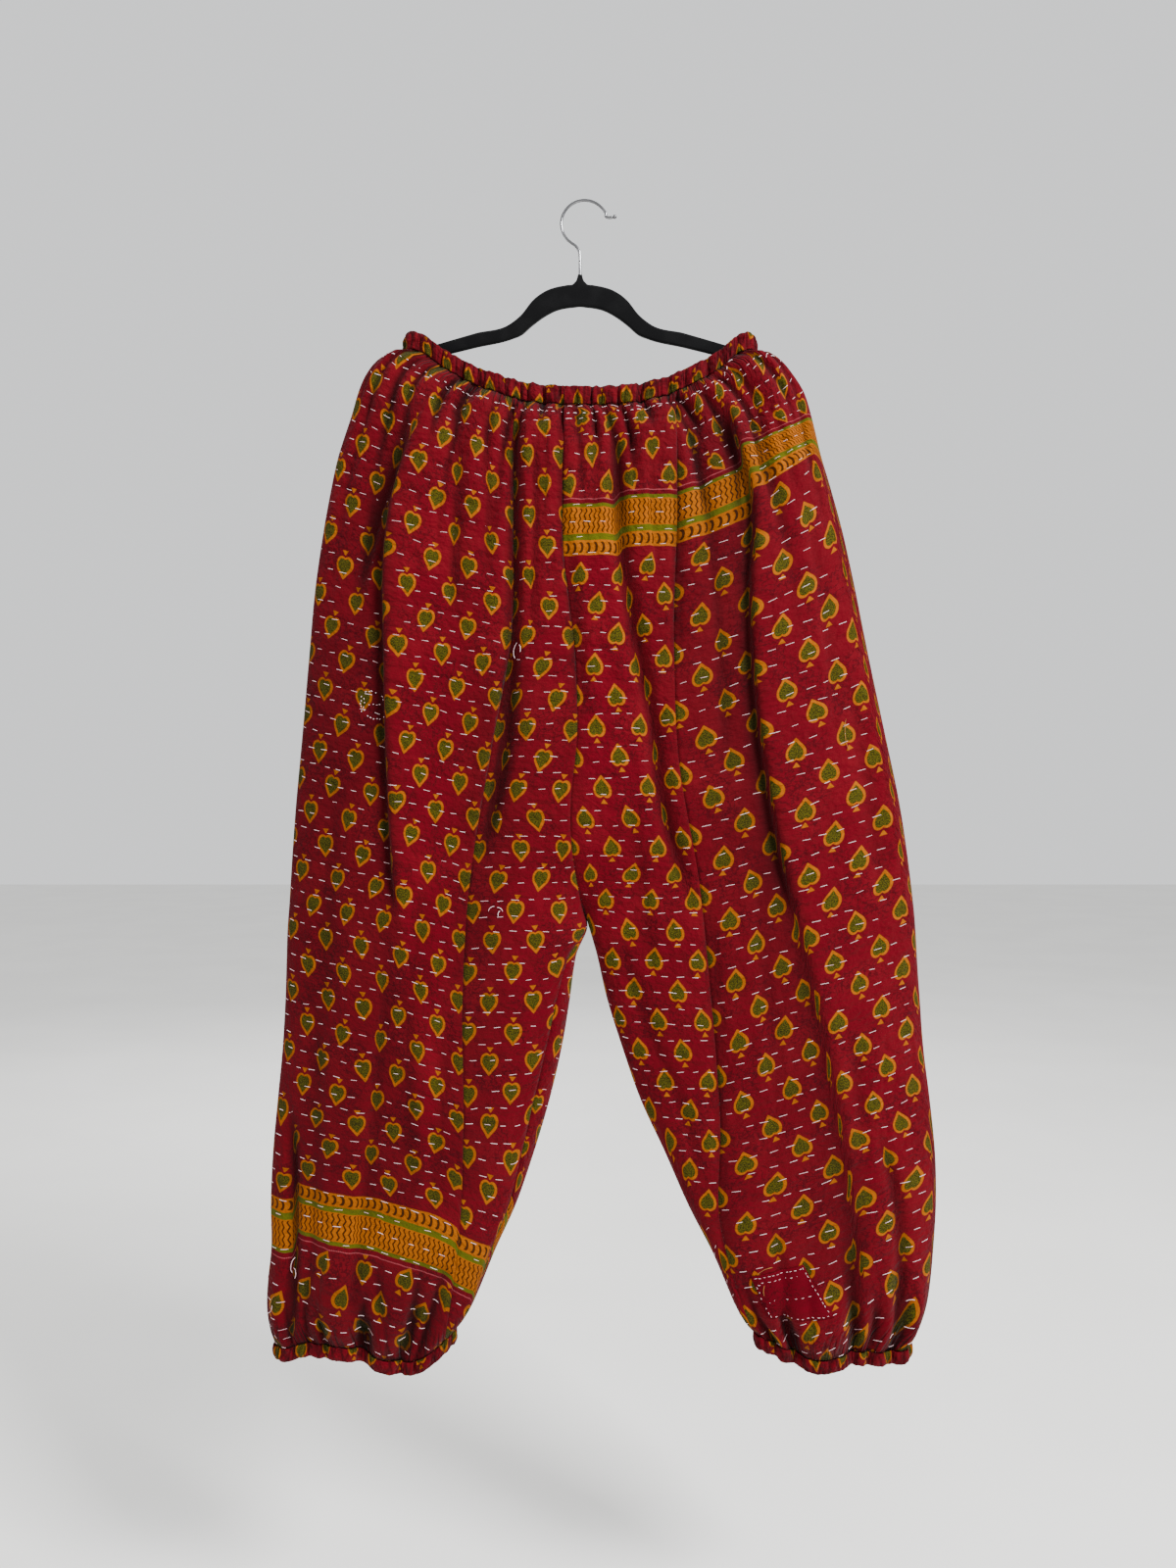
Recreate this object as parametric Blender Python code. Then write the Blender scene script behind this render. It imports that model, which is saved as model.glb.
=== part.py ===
"""Balloon trousers of hand-quilted cotton, hanging on a slim clothes hanger.

Metres in the meshes, +Z up, +X to the viewer's right, the front faces -Y. The origin is the inside
top of the hanger's hook, where a peg carries it. The tables and sizes below are in millimetres.
Left and right are the viewer's.

Each half of the garment is one cloth surface that runs from its front inner edge, round the side,
to its back inner edge. Above the crotch the inner edges are the centre seams; below it they meet at
the inseam. A place on a half has two numbers:
  level  0 at the waist seam, 26 at the ankle seam, one whole number for each row of LEVELS
  q      0 at the front inner edge, 1 at the side, 2 at the back inner edge, by length of cloth
"""

import math

import bpy
import numpy as np

MM = 0.001

# ---------------------------------------------------------------- driving dimensions

WALL = 1.5                  # two layers of old cotton, quilted together
CASING_WALL = 2.6           # folded cloth round the elastic
SEAM_GAP = 0.3              # between neighbouring pieces
WAIST_GAP = 0.45            # between a casing and the slanting edges it is sewn to
ANKLE_GAP = 0.9
WAIST_CASING_HEIGHT = 17.5
WAIST_CASING_SIDE_HEIGHT = 11.5
ANKLE_CASING_HEIGHT = 13.0
BACK_SHARE = 0.85           # the back hangs flatter than the front
DIP_X = 3.3                 # lowest point of the waist
STRIP_MIN = 7.0             # narrowest stretch of an inner panel's front

HANGER_X = -4.4             # the hanger's middle
HANGER_THICK = 5.5
HANGER_EDGE = 1.5           # rounding of its long edges
HOOK_WIRE = 2.8             # diameter
HOOK_RADIUS = 22.4          # of the wire's centre line

# ---------------------------------------------------------------- tables

# One row for each level down the garment. out_z and in_z are the heights of the side and of the
# inner edge, the x columns where they lie, depth is half the tube's thickness from front to back,
# leg is 0 where the section is open at the centre seam and 1 where it is a closed leg.
LEVEL_COLUMNS = ("out_z", "in_z", "left_out", "right_out", "left_in", "right_in", "depth", "leg",
                 "waist", "gather")
LEVELS = (
    (-145.3, -198.5, -172.0, 163.6, -19.0, -19.0, 13.0, 0.0, 1.00, 1.0),
    (-145.6, -203.7, -184.0, 175.5, -19.0, -19.0, 15.5, 0.0, 0.98, 2.6),
    (-153.9, -211.8, -198.5, 188.0, -19.3, -19.3, 18.0, 0.0, 0.94, 3.2),
    (-167.1, -223.8, -208.8, 199.0, -19.8, -19.8, 20.5, 0.0, 0.88, 3.5),
    (-184.0, -237.2, -216.3, 209.8, -19.9, -19.9, 22.5, 0.0, 0.80, 3.5),
    (-207.4, -256.2, -223.4, 217.3, -20.6, -20.6, 24.5, 0.0, 0.68, 3.2),
    (-243.1, -282.4, -235.1, 226.0, -20.6, -20.6, 26.0, 0.0, 0.52, 2.7),
    (-276.9, -310.1, -242.6, 236.0, -20.5, -20.5, 27.0, 0.0, 0.38, 2.1),
    (-318.2, -347.0, -250.0, 247.3, -18.7, -18.7, 28.0, 0.0, 0.24, 1.4),
    (-371.7, -383.8, -257.6, 259.0, -14.1, -14.1, 29.0, 0.0, 0.12, 0.9),
    (-435.5, -443.3, -263.3, 271.7, -7.7, -7.7, 30.0, 0.0, 0.04, 0.5),
    (-507.8, -511.8, -269.5, 287.0, -6.8, -6.8, 30.5, 0.0, 0.0, 0.2),
    (-572.5, -571.2, -275.5, 300.5, -12.5, -12.5, 31.0, 0.0, 0.0, 0.0),
    (-623.2, -617.3, -279.2, 308.3, -12.0, -12.0, 31.0, 0.30, 0.0, 0.0),
    (-670.1, -664.7, -282.0, 313.9, -4.5, -4.5, 30.5, 0.74, 0.0, 0.0),
    (-698.3, -693.0, -283.9, 316.3, 2.9, 3.7, 30.0, 1.0, 0.0, 0.0),
    (-731.1, -721.7, -284.8, 318.2, -8.0, 11.7, 29.5, 1.0, 0.0, 0.0),
    (-764.0, -763.0, -286.0, 320.5, -14.0, 21.0, 29.0, 1.0, 0.0, 0.0),
    (-810.9, -810.9, -288.8, 324.0, -22.0, 36.1, 29.0, 1.0, 0.0, 0.0),
    (-857.8, -858.8, -293.3, 329.9, -33.3, 53.0, 28.5, 1.0, 0.0, 0.0),
    (-909.5, -909.5, -298.0, 335.1, -48.3, 76.5, 28.0, 1.0, 0.0, 0.0),
    (-956.4, -958.3, -300.0, 336.0, -65.2, 98.1, 27.5, 1.0, 0.0, 0.3),
    (-998.6, -999.6, -299.5, 333.6, -84.0, 119.5, 27.0, 1.0, 0.0, 0.8),
    (-1031.5, -1031.5, -302.7, 330.8, -97.1, 133.7, 26.0, 1.0, 0.0, 1.5),
    (-1056.0, -1054.0, -303.6, 327.1, -107.0, 144.5, 24.5, 1.0, 0.0, 2.2),
    (-1077.0, -1070.0, -300.8, 320.5, -116.5, 154.5, 22.0, 1.0, 0.0, 2.4),
    (-1092.0, -1079.0, -296.0, 312.0, -124.0, 162.8, 18.0, 1.0, 0.0, 1.3),
)
LAST = len(LEVELS) - 1
CROTCH = 15                 # the first level of the closed legs

# How blunt the flattened tube's edges are, by level: a lower power is blunter.
ROUNDNESS = ((0, 0.50), (2, 0.58), (6, 0.80), (26, 0.80))

# The waist seam: share of the way up from its lowest point to the side, by share of the way out.
WAIST_RISE = (
    (0.00, 0.000), (0.15, 0.012), (0.30, 0.055), (0.40, 0.125), (0.50, 0.225), (0.60, 0.350),
    (0.70, 0.510), (0.80, 0.710), (0.88, 0.920), (0.94, 1.000), (1.00, 1.000),
)

# How far the ankle seam hangs below a straight line, by share of the way out, for each leg.
ANKLE_DROP = (
    (0.00, 0.0, 0.0), (0.10, 10.0, 6.0), (0.22, 22.0, 12.0), (0.32, 19.0, 15.5),
    (0.42, 13.0, 15.0), (0.55, 3.0, 9.5), (0.70, -2.0, 6.5), (0.82, -4.0, 5.0),
    (0.92, 1.0, 3.0), (1.00, 0.0, 0.0),
)
DROP_BY_LEVEL = ((0, 0.0), (21, 0.0), (23, 0.25), (25, 0.8), (26, 1.0))

# Seams between inner and outer panels: x at equal steps from top to bottom, front and back.
PANEL_SEAM_TOP = -195.0
PANEL_SEAM_BOTTOM = -1099.0
PANEL_SEAM = {
    "left": (-68, -67, -69, -88, -107, -114, -113, -118, -136),
    "right": (87, 87, 84, 88, 107, 119, 127, 129, 171),
}

# How far the inseam is turned onto the front, in x, by level.
INSEAM_TURN = {
    "left": ((15, 0), (16, 7), (17, 13), (18, 15), (19, 15), (20, 11), (21, 6), (23, 3), (26, 3)),
    "right": ((15, 0), (16, 0), (26, 0)),
}

# The largest folds. xs are x at equal steps from top to bottom; a trough dips all along its line,
# a step drops on one side of it ("left" or "right") and stands a little proud on the other.
FOLD_COLUMNS = ("face", "kind", "top", "bottom", "xs", "width", "depth")
FOLDS = (
    ("front", "left", -185, -700, (-146, -183, -186, -182, -174), 5.0, 8.0),
    ("front", "trough", -192, -640, (-66.5, -66.5, -68, -76, -99), 8.0, 12.0),
    ("front", "trough", -205, -680, (31, 31, 42, 61, 75, 104), 8.0, 8.0),
    ("front", "left", -180, -1085, (128, 161, 157, 167, 183, 207, 215, 216, 234), 5.5, 8.0),
    ("front", "trough", -860, -1095, (270, 292, 299, 296), 7.0, 6.0),
    ("front", "trough", -850, -1140, (-279, -276, -276, -276), 6.0, 8.0),
    ("front", "trough", -190, -420, (-112, -120, -124), 7.0, 5.0),
    ("front", "trough", -190, -520, (-22, -20, -8, 0), 7.0, 5.0),
    ("front", "right", -700, -1100, (-190, -200, -214, -230), 9.0, 5.0),
    ("front", "trough", -640, -1060, (112, 124, 128, 132), 9.0, 4.0),
    ("back", "left", -185, -760, (-126, -150, -166, -170), 6.0, 8.0),
    ("back", "trough", -192, -620, (-66, -64, -76, -96), 8.0, 10.0),
    ("back", "trough", -200, -700, (22, 34, 30, 52), 8.0, 8.0),
    ("back", "right", -190, -980, (118, 150, 176, 190, 226), 6.0, 8.0),
    ("back", "trough", -820, -1100, (-214, -224, -206), 8.0, 6.0),
    ("back", "trough", -860, -1100, (262, 268, 250), 8.0, 6.0),
)
STEP_REACH = 34.0           # how far a step's low side takes to come back up
FOLD_FADE = 70.0            # length over which a fold starts and ends

# Columns of points across each panel. Gathers stand on every second one, so each is even.
PANEL_COLUMNS = {
    "left": {"inner_front": 6, "outer": 30, "inner_back": 6},
    "right": {"inner_front": 12, "outer": 24, "inner_back": 12},
}

# The darning patch lies on the right outer panel: rows of levels and columns of its points.
PATCH_LEVELS = (22, 24)
PATCH_COLUMNS = (1, 5)
PATCH_THICK = 0.8
PATCH_GAP = 0.45            # to the creased cloth under it

# The hanger's upper and lower edges, by distance from its middle.
HANGER_COLUMNS = ("reach", "top", "bottom")
HANGER = (
    (0.0, -70.4, -100.4), (2.0, -70.6, -100.5), (2.7, -73.5, -100.6), (5.6, -78.2, -101.0),
    (12.5, -80.2, -101.8), (22.0, -82.0, -104.0), (32.0, -85.4, -108.9), (46.0, -95.7, -119.0),
    (55.5, -107.9, -127.3), (65.5, -116.4, -131.5), (100.0, -126.3, -139.6),
    (136.8, -137.0, -149.0), (157.0, -143.2, -155.2), (168.0, -147.5, -158.8),
    (180.0, -150.8, -162.2), (189.0, -154.6, -165.4), (192.4, -157.9, -164.9),
    (193.2, -160.3, -163.0),
)

# The hook's wire where it isn't part of the ring: x and z of its centre line.
HOOK_STEM = ((-4.4, -70.1), (-4.4, -62.0), (-4.5, -53.0), (-5.4, -47.0), (-8.6, -42.3),
             (-13.4, -38.8))
HOOK_TIP = ((20.0, -13.6), (22.0, -15.0), (24.5, -15.2), (27.0, -14.7), (28.4, -14.4))
RING_FROM = 222.0           # degrees, from +X towards +Z
RING_TO = 24.0
RING_STEPS = 26
WIRE_SIDES = 8

COLOURS = {                 # base colour, roughness, metallic
    "quilted_cotton": ((0.30, 0.012, 0.022), 0.9, 0.0),
    "patch_cotton": ((0.26, 0.010, 0.022), 0.9, 0.0),
    "black_velvet": ((0.004, 0.004, 0.005), 1.0, 0.0),
    "chrome": ((0.75, 0.75, 0.77), 0.15, 1.0),
}


# ---------------------------------------------------------------- reading the tables

def smooth(xs, ys, x):
    """Read a table at x along a smooth curve through its rows."""
    xs = np.asarray(xs, float)
    ys = np.asarray(ys, float)
    slope = np.gradient(ys, xs)
    x = np.clip(x, xs[0], xs[-1])
    i = np.clip(np.searchsorted(xs, x, side="right") - 1, 0, len(xs) - 2)
    span = xs[i + 1] - xs[i]
    s = (x - xs[i]) / span
    near = (1 + 2 * s) * (1 - s) ** 2 * ys[i] + s * (1 - s) ** 2 * span * slope[i]
    far = s * s * (3 - 2 * s) * ys[i + 1] + s * s * (s - 1) * span * slope[i + 1]
    return near + far


def blend(low, high, x):
    """0 below low, 1 above high, smooth between."""
    s = np.clip((x - low) / (high - low), 0.0, 1.0)
    return s * s * (3 - 2 * s)


def level_value(column, level):
    """One column of LEVELS at a level."""
    index = LEVEL_COLUMNS.index(column)
    return float(smooth(range(LAST + 1), [row[index] for row in LEVELS], level))


def along(xs, top, bottom, z):
    """x of a line given at equal steps from top to bottom, at height z."""
    steps = np.linspace(0.0, 1.0, len(xs))
    return smooth(steps, xs, (top - np.asarray(z)) / (top - bottom))


# ---------------------------------------------------------------- the cloth's form

def fold_depth(x, z, face):
    """How far the large folds move the cloth outwards at x, z on one face."""
    total = np.zeros(np.shape(x))
    for row in FOLDS:
        fold = dict(zip(FOLD_COLUMNS, row))
        if fold["face"] != face:
            continue
        off = x - along(fold["xs"], fold["top"], fold["bottom"], z)
        fade = min(FOLD_FADE, (fold["top"] - fold["bottom"]) / 3)
        here = blend(fold["bottom"], fold["bottom"] + fade, z)
        here = here * (1 - blend(fold["top"] - fade, fold["top"], z))
        if fold["kind"] == "trough":
            shape = -np.exp(-(off / fold["width"]) ** 2)
        else:
            off = -off if fold["kind"] == "left" else off
            low = -np.exp(-(off / STEP_REACH) ** 2)
            high = 0.35 * np.exp(-(off / STEP_REACH) ** 2)
            shape = high + (low - high) * blend(-fold["width"], fold["width"], off)
        total = total + here * fold["depth"] * shape
    return total


class Section:
    """One level of one half: its line from front to back, and where the seams cross it."""

    POINTS = 241

    def __init__(self, side, level):
        self.side = side
        self.level = level
        self.turn = -1.0 if side == "left" else 1.0
        read = {name: level_value(name, level) for name in LEVEL_COLUMNS}
        self.leg = min(max(read["leg"], 0.0), 1.0)
        self.gather = read["gather"]
        in_x = read[side + "_in"]
        out_x = read[side + "_out"]
        angle = np.linspace(0.0, 1.0, self.POINTS)
        sine = np.sin(angle * math.pi / 2)
        cosine = np.cos(angle * math.pi / 2)
        swing = np.cos(angle * math.pi)
        power = np.interp(level, *zip(*ROUNDNESS))
        open_out = sine ** power
        open_deep = np.maximum(cosine, 0) ** power
        leg_out = (1 - np.sign(swing) * np.abs(swing) ** power) / 2
        leg_deep = np.maximum(np.sin(angle * math.pi), 0) ** power
        out = open_out + (leg_out - open_out) * self.leg
        deep = open_deep + (leg_deep - open_deep) * self.leg
        self.out = out
        x = in_x + (out_x - in_x) * out
        z = self.height(read, out, x, out_x)
        self.front = self.arc(x, -read["depth"] * deep, z)
        self.back = self.arc(x, BACK_SHARE * read["depth"] * deep, z)

    def height(self, read, out, x, out_x):
        """Height of each point: straight across, curved at the waist and the ankle."""
        level = self.level
        share = np.abs(x - DIP_X) / abs(out_x - DIP_X)
        rise = smooth([row[0] for row in WAIST_RISE], [row[1] for row in WAIST_RISE], share)
        way = out + (rise - out) * read["waist"]
        column = 1 if self.side == "left" else 2
        drop = smooth([row[0] for row in ANKLE_DROP], [row[column] for row in ANKLE_DROP], out)
        drop = drop * np.interp(level, *zip(*DROP_BY_LEVEL))
        return read["in_z"] + (read["out_z"] - read["in_z"]) * way - drop

    @staticmethod
    def arc(x, y, z):
        steps = np.hypot(np.diff(x), np.diff(y))
        length = np.concatenate(([0.0], np.cumsum(steps)))
        return {"x": x, "y": y, "z": z, "q": length / length[-1], "length": length[-1]}

    def at(self, q):
        """Point and outward direction of the plain section, without folds."""
        q = np.asarray(q, float)
        if self.leg > 0.999:
            q = np.mod(q, 2.0)
        on_front = q <= 1.0
        point = np.zeros(q.shape + (3,))
        for face, mine, share in ((self.front, on_front, q), (self.back, ~on_front, 2.0 - q)):
            share = np.clip(share, 0.0, 1.0)
            for axis, name in enumerate("xyz"):
                value = np.interp(share, face["q"], face[name])
                point[..., axis] = np.where(mine, value, point[..., axis])
        return point

    def seam(self, face):
        """q of the panel seam on a face."""
        line = self.front if face == "front" else self.back
        seam_x = along(PANEL_SEAM[self.side], PANEL_SEAM_TOP, PANEL_SEAM_BOTTOM, line["z"])
        off = (line["x"] - seam_x) * self.turn
        share = np.interp(0.0, off, line["q"])
        least = np.interp(STRIP_MIN, (line["x"] - line["x"][0]) * self.turn, line["q"])
        share = max(share, least)
        return share if face == "front" else 2.0 - share

    def inseam(self):
        """q of the inner edge, which a leg's inseam may be turned away from."""
        if self.leg < 0.999:
            return 0.0
        levels, turns = zip(*INSEAM_TURN[self.side])
        turn = np.interp(self.level, levels, turns)
        line = self.front
        return float(np.interp(turn, (line["x"] - line["x"][0]) * self.turn, line["q"]))

    def gap(self):
        """Half the seam gap, as a share of the front's length."""
        return SEAM_GAP / 2 / self.front["length"]

    def span(self, panel):
        """q of a panel's two edges."""
        start = self.inseam()
        spans = {
            "inner_front": (start, self.seam("front")),
            "outer": (self.seam("front"), self.seam("back")),
            "inner_back": (self.seam("back"), 2.0 + start),
        }
        low, high = spans[panel]
        return low + self.gap(), high - self.gap()


def cloth_point(section, q, wave):
    """Point of the cloth with its folds; wave is the gathers' -1 to 1."""
    step = 0.002
    base = section.at(q)
    ahead = section.at(q + step) - section.at(q - step)
    outward = np.stack([ahead[..., 1], -ahead[..., 0]], axis=-1) * section.turn
    outward /= np.maximum(np.linalg.norm(outward, axis=-1, keepdims=True), 1e-9)
    x, z = base[..., 0], base[..., 2]
    wrapped = np.mod(q, 2.0) if section.leg > 0.999 else q
    side_reach = np.abs(wrapped - 1.0)
    near_side = blend(0.0, 0.06, side_reach)
    near_inner = blend(0.0, 0.08, np.minimum(np.abs(wrapped), np.abs(2.0 - wrapped)))
    near_inner = 1 + (near_inner - 1) * blend(0.0, 1.0, section.leg)
    folds = np.where(wrapped <= 1.0, fold_depth(x, z, "front"), fold_depth(x, z, "back"))
    settle = blend(0.0, 3.0, section.level) * (1 - blend(LAST - 2.0, LAST, section.level))
    uneven = 1 + 0.3 * np.sin(x / 19.0) * np.sin(z / 170.0)
    move = folds * near_side * near_inner * settle
    move = move + section.gather * uneven * wave * near_inner * blend(0.0, 0.12, side_reach)
    point = base.copy()
    point[..., 0] += outward[..., 0] * move
    point[..., 1] += outward[..., 1] * move
    return point


def gather_wave(columns, share):
    """Gathers across a panel: down at both seams, up on every second column between."""
    return -np.cos(math.pi * columns * share)


def panel_grid(side, panel):
    """A panel's outer points and their outward directions, a row for each level."""
    columns = PANEL_COLUMNS[side][panel]
    share = np.linspace(0.0, 1.0, columns + 1)
    small = 0.25 / columns

    def line(level, shift):
        section = Section(side, min(max(level, 0.0), float(LAST)))
        low, high = section.span(panel)
        at = np.clip(share + shift, 0.0, 1.0)
        return cloth_point(section, low + (high - low) * at, gather_wave(columns, at))

    points, normals = [], []
    for level in range(LAST + 1):
        points.append(line(level, 0.0))
        across = line(level, small) - line(level, -small)
        down = line(level + 0.2, 0.0) - line(level - 0.2, 0.0)
        normal = np.cross(across, down)
        if side == "right":
            normal = -normal
        if level in (0, LAST):
            normal[:, 2] = 0.0          # the seam edges lie level
        normals.append(normal / np.linalg.norm(normal, axis=1, keepdims=True))
    return np.array(points), np.array(normals)


def join_edges(grids):
    """Give the two edges at each seam one direction, so that their ends stand parallel."""
    def join(first, first_column, second, second_column, rows):
        one, other = grids[first][1], grids[second][1]
        both = one[rows, first_column] + other[rows, second_column]
        both /= np.linalg.norm(both, axis=1, keepdims=True)
        one[rows, first_column] = both
        other[rows, second_column] = both

    for side in PANEL_COLUMNS:
        front, outer, back = ((side, panel) for panel in PANEL_COLUMNS[side])
        join(front, -1, outer, 0, slice(None))
        join(outer, -1, back, 0, slice(None))
        join(back, -1, front, 0, slice(CROTCH, None))
    for panel, column in (("inner_front", 0), ("inner_back", -1)):
        join(("left", panel), column, ("right", panel), column, slice(0, CROTCH))


# ---------------------------------------------------------------- meshes

def make_material(name):
    """A plain material with the part's colour."""
    if name in bpy.data.materials:
        return bpy.data.materials[name]
    colour, roughness, metallic = COLOURS[name]
    material = bpy.data.materials.new(name)
    material.use_nodes = True
    shader = material.node_tree.nodes["Principled BSDF"]
    shader.inputs["Base Color"].default_value = (*colour, 1.0)
    shader.inputs["Roughness"].default_value = roughness
    shader.inputs["Metallic"].default_value = metallic
    material.diffuse_color = (*colour, 1.0)
    return material


def make_object(name, points, faces, material):
    """An object from points in millimetres."""
    mesh = bpy.data.meshes.new(name)
    mesh.from_pydata([tuple(p) for p in np.asarray(points) * MM], [], faces)
    mesh.validate()
    mesh.shade_smooth()
    mesh.set_sharp_from_angle(angle=math.radians(40))
    mesh.materials.append(make_material(material))
    thing = bpy.data.objects.new(name, mesh)
    bpy.context.collection.objects.link(thing)
    return thing


def loft(name, rings, material, closed_rows, closed_columns, flip=False):
    """Close a block of points (row, column, 3) into a solid.

    A closed direction runs round; an open one is capped by one fan at each end.
    """
    rows, columns = rings.shape[:2]
    faces = []
    for r in range(rows if closed_rows else rows - 1):
        for c in range(columns if closed_columns else columns - 1):
            a = r * columns + c
            b = r * columns + (c + 1) % columns
            d = (r + 1) % rows * columns + c
            e = (r + 1) % rows * columns + (c + 1) % columns
            faces += [(a, b, e), (a, e, d)]
    if not closed_rows:
        last = (rows - 1) * columns
        faces += [(0, c + 1, c) for c in range(1, columns - 1)]
        faces += [(last, last + c, last + c + 1) for c in range(1, columns - 1)]
    if flip:
        faces = [face[::-1] for face in faces]
    return make_object(name, rings.reshape(-1, 3), faces, material)


def wall(name, outer, inner, material, flip):
    """A cloth wall between two equal grids of points, closed at its four edges."""
    rows, columns = outer.shape[:2]
    count = rows * columns
    faces = []

    def pair(a, b, c, d):
        faces.extend([(a, b, c), (a, c, d)])

    for r in range(rows - 1):
        for c in range(columns - 1):
            a = r * columns + c
            pair(a, a + columns, a + columns + 1, a + 1)
            # the same diagonal on the inner side
            faces.append((count + a, count + a + columns + 1, count + a + columns))
            faces.append((count + a, count + a + 1, count + a + columns + 1))
    for c in range(columns - 1):
        top, low = c, (rows - 1) * columns + c
        pair(top, top + 1, count + top + 1, count + top)
        pair(low + 1, low, count + low, count + low + 1)
    for r in range(rows - 1):
        near, far = r * columns, r * columns + columns - 1
        pair(near + columns, near, count + near, count + near + columns)
        # the same diagonal as the neighbour's edge, so that the two stay parallel
        pair(far + columns, count + far + columns, count + far, far)
    if flip:
        faces = [face[::-1] for face in faces]
    points = np.concatenate([outer.reshape(-1, 3), inner.reshape(-1, 3)])
    return make_object(name, points, faces, material)


# ---------------------------------------------------------------- the garment's pieces

def make_panel(side, panel, outer, normals):
    """One cut panel as a wall of cloth, from its outer points and directions."""
    inner = outer - normals * WALL
    name = side + "_" + panel
    if panel == "outer":
        name += "_panel"
    wall(name, outer, inner, "quilted_cotton", flip=side == "left")


def make_patch(outer, normals):
    """The darning patch, from the panel's own points moved out."""
    rows = slice(PATCH_LEVELS[0], PATCH_LEVELS[1] + 1)
    columns = slice(PATCH_COLUMNS[0], PATCH_COLUMNS[1] + 1)
    under = outer[rows, columns] + normals[rows, columns] * PATCH_GAP
    over = under + normals[rows, columns] * PATCH_THICK
    wall("ankle_patch", over, under, "patch_cotton", flip=False)


# A casing's own section: share of its height, how far out, how much it rucks, ruck of its edge.
CASING_COLUMNS = ("up", "out", "ruck", "edge")
CASING_SECTION = (
    (0.0, 0.6, 0.4, 0.0),
    (0.5, 1.6, 1.1, 0.0),
    (1.0, 0.8, 1.2, 1.0),
    (1.0, 0.8 - CASING_WALL, 0.0, 0.2),
    (0.0, 0.6 - CASING_WALL, 0.0, 0.0),
)


def casing_ring(name, points, outward, heights, gap, direction):
    """A gathered casing along a closed line of points, rising or falling from it."""
    order = np.arange(len(points))
    ruck = np.where(order % 2 == 0, 1.0, -1.0) * (1 + 0.25 * np.sin(order * 1.9))
    lines = []
    for row in CASING_SECTION:
        part = dict(zip(CASING_COLUMNS, row))
        line = points.copy()
        line[:, :2] += outward * (part["out"] + part["ruck"] * ruck)[:, None]
        line[:, 2] += direction * (gap + part["up"] * heights + part["edge"] * ruck)
        lines.append(line)
    loft(name, np.array(lines), "quilted_cotton", True, True, flip=direction < 0)


def edge_line(grids, side, row):
    """The three panels' edge at a row, from the front inner edge round to the back one."""
    points, outward = [], []
    for panel in ("inner_front", "outer", "inner_back"):
        outer, normals = grids[side, panel]
        points.append(outer[row, :-1])
        outward.append(normals[row, :-1, :2])
    return np.concatenate(points), np.concatenate(outward)


def with_middles(points, outward):
    """A closed line with a point added in the middle of each side."""
    middles = (points + np.roll(points, -1, axis=0)) / 2
    directions = outward + np.roll(outward, -1, axis=0)
    directions /= np.linalg.norm(directions, axis=1, keepdims=True)
    size = (2 * len(points), -1)
    return (np.stack([points, middles], axis=1).reshape(size),
            np.stack([outward, directions], axis=1).reshape(size))


def make_waist_casing(grids):
    """The elastic waist: one gathered ring on both halves' top edges, a ruck for each column."""
    right, right_out = edge_line(grids, "right", 0)
    left, left_out = edge_line(grids, "left", 0)
    points = np.concatenate([right, left[::-1]])
    outward = np.concatenate([right_out, left_out[::-1]])
    points, outward = with_middles(points, outward)
    flatness = blend(0.1, 0.75, np.abs(points[:, 1]) / LEVELS[0][LEVEL_COLUMNS.index("depth")])
    heights = WAIST_CASING_SIDE_HEIGHT
    heights = heights + (WAIST_CASING_HEIGHT - heights) * flatness
    casing_ring("waist_casing", points, outward, heights, WAIST_GAP, 1.0)


def make_ankle_casing(grids, side):
    """The elastic ankle: a gathered ring below a leg's lowest edge."""
    points, outward = edge_line(grids, side, LAST)
    if side == "left":
        points, outward = points[::-1], outward[::-1]
    heights = np.full(len(points), ANKLE_CASING_HEIGHT)
    casing_ring(side + "_ankle_casing", points, outward, heights, ANKLE_GAP, -1.0)


# ---------------------------------------------------------------- the hanger

def make_hanger_body():
    """The slim hanger: a rounded bar swept from tip to tip over the hump."""
    stations = [(-r, t, b) for r, t, b in HANGER[:0:-1]] + list(HANGER)
    half = HANGER_THICK / 2
    rings = []
    for reach, top, bottom in stations:
        edge = min(HANGER_EDGE, (top - bottom) / 2.2)
        width = half if abs(reach) < HANGER[-2][0] else half * 0.62
        if abs(reach) >= HANGER[-1][0]:
            width = half * 0.3
            edge = min(edge, width * 0.7)
        corner = min(edge, width * 0.7)
        ring = [
            (width - corner, top), (width, top - edge), (width, bottom + edge),
            (width - corner, bottom), (corner - width, bottom), (-width, bottom + edge),
            (-width, top - edge), (corner - width, top),
        ]
        rings.append([(HANGER_X + reach, y, z) for y, z in ring])
    loft("hanger_body", np.array(rings), "black_velvet", False, True, flip=True)


def hook_line():
    """The wire's centre line in x and z, and its radius at each point."""
    turns = np.radians(np.linspace(RING_FROM, RING_TO, RING_STEPS))
    middle = HOOK_WIRE / 2 - HOOK_RADIUS
    ring = [(HOOK_RADIUS * math.cos(t), middle + HOOK_RADIUS * math.sin(t)) for t in turns]
    line = np.array(list(HOOK_STEM) + ring + list(HOOK_TIP))
    radius = np.full(len(line), HOOK_WIRE / 2)
    radius[-2:] = (HOOK_WIRE * 0.68, HOOK_WIRE * 0.35)
    return line, radius


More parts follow.
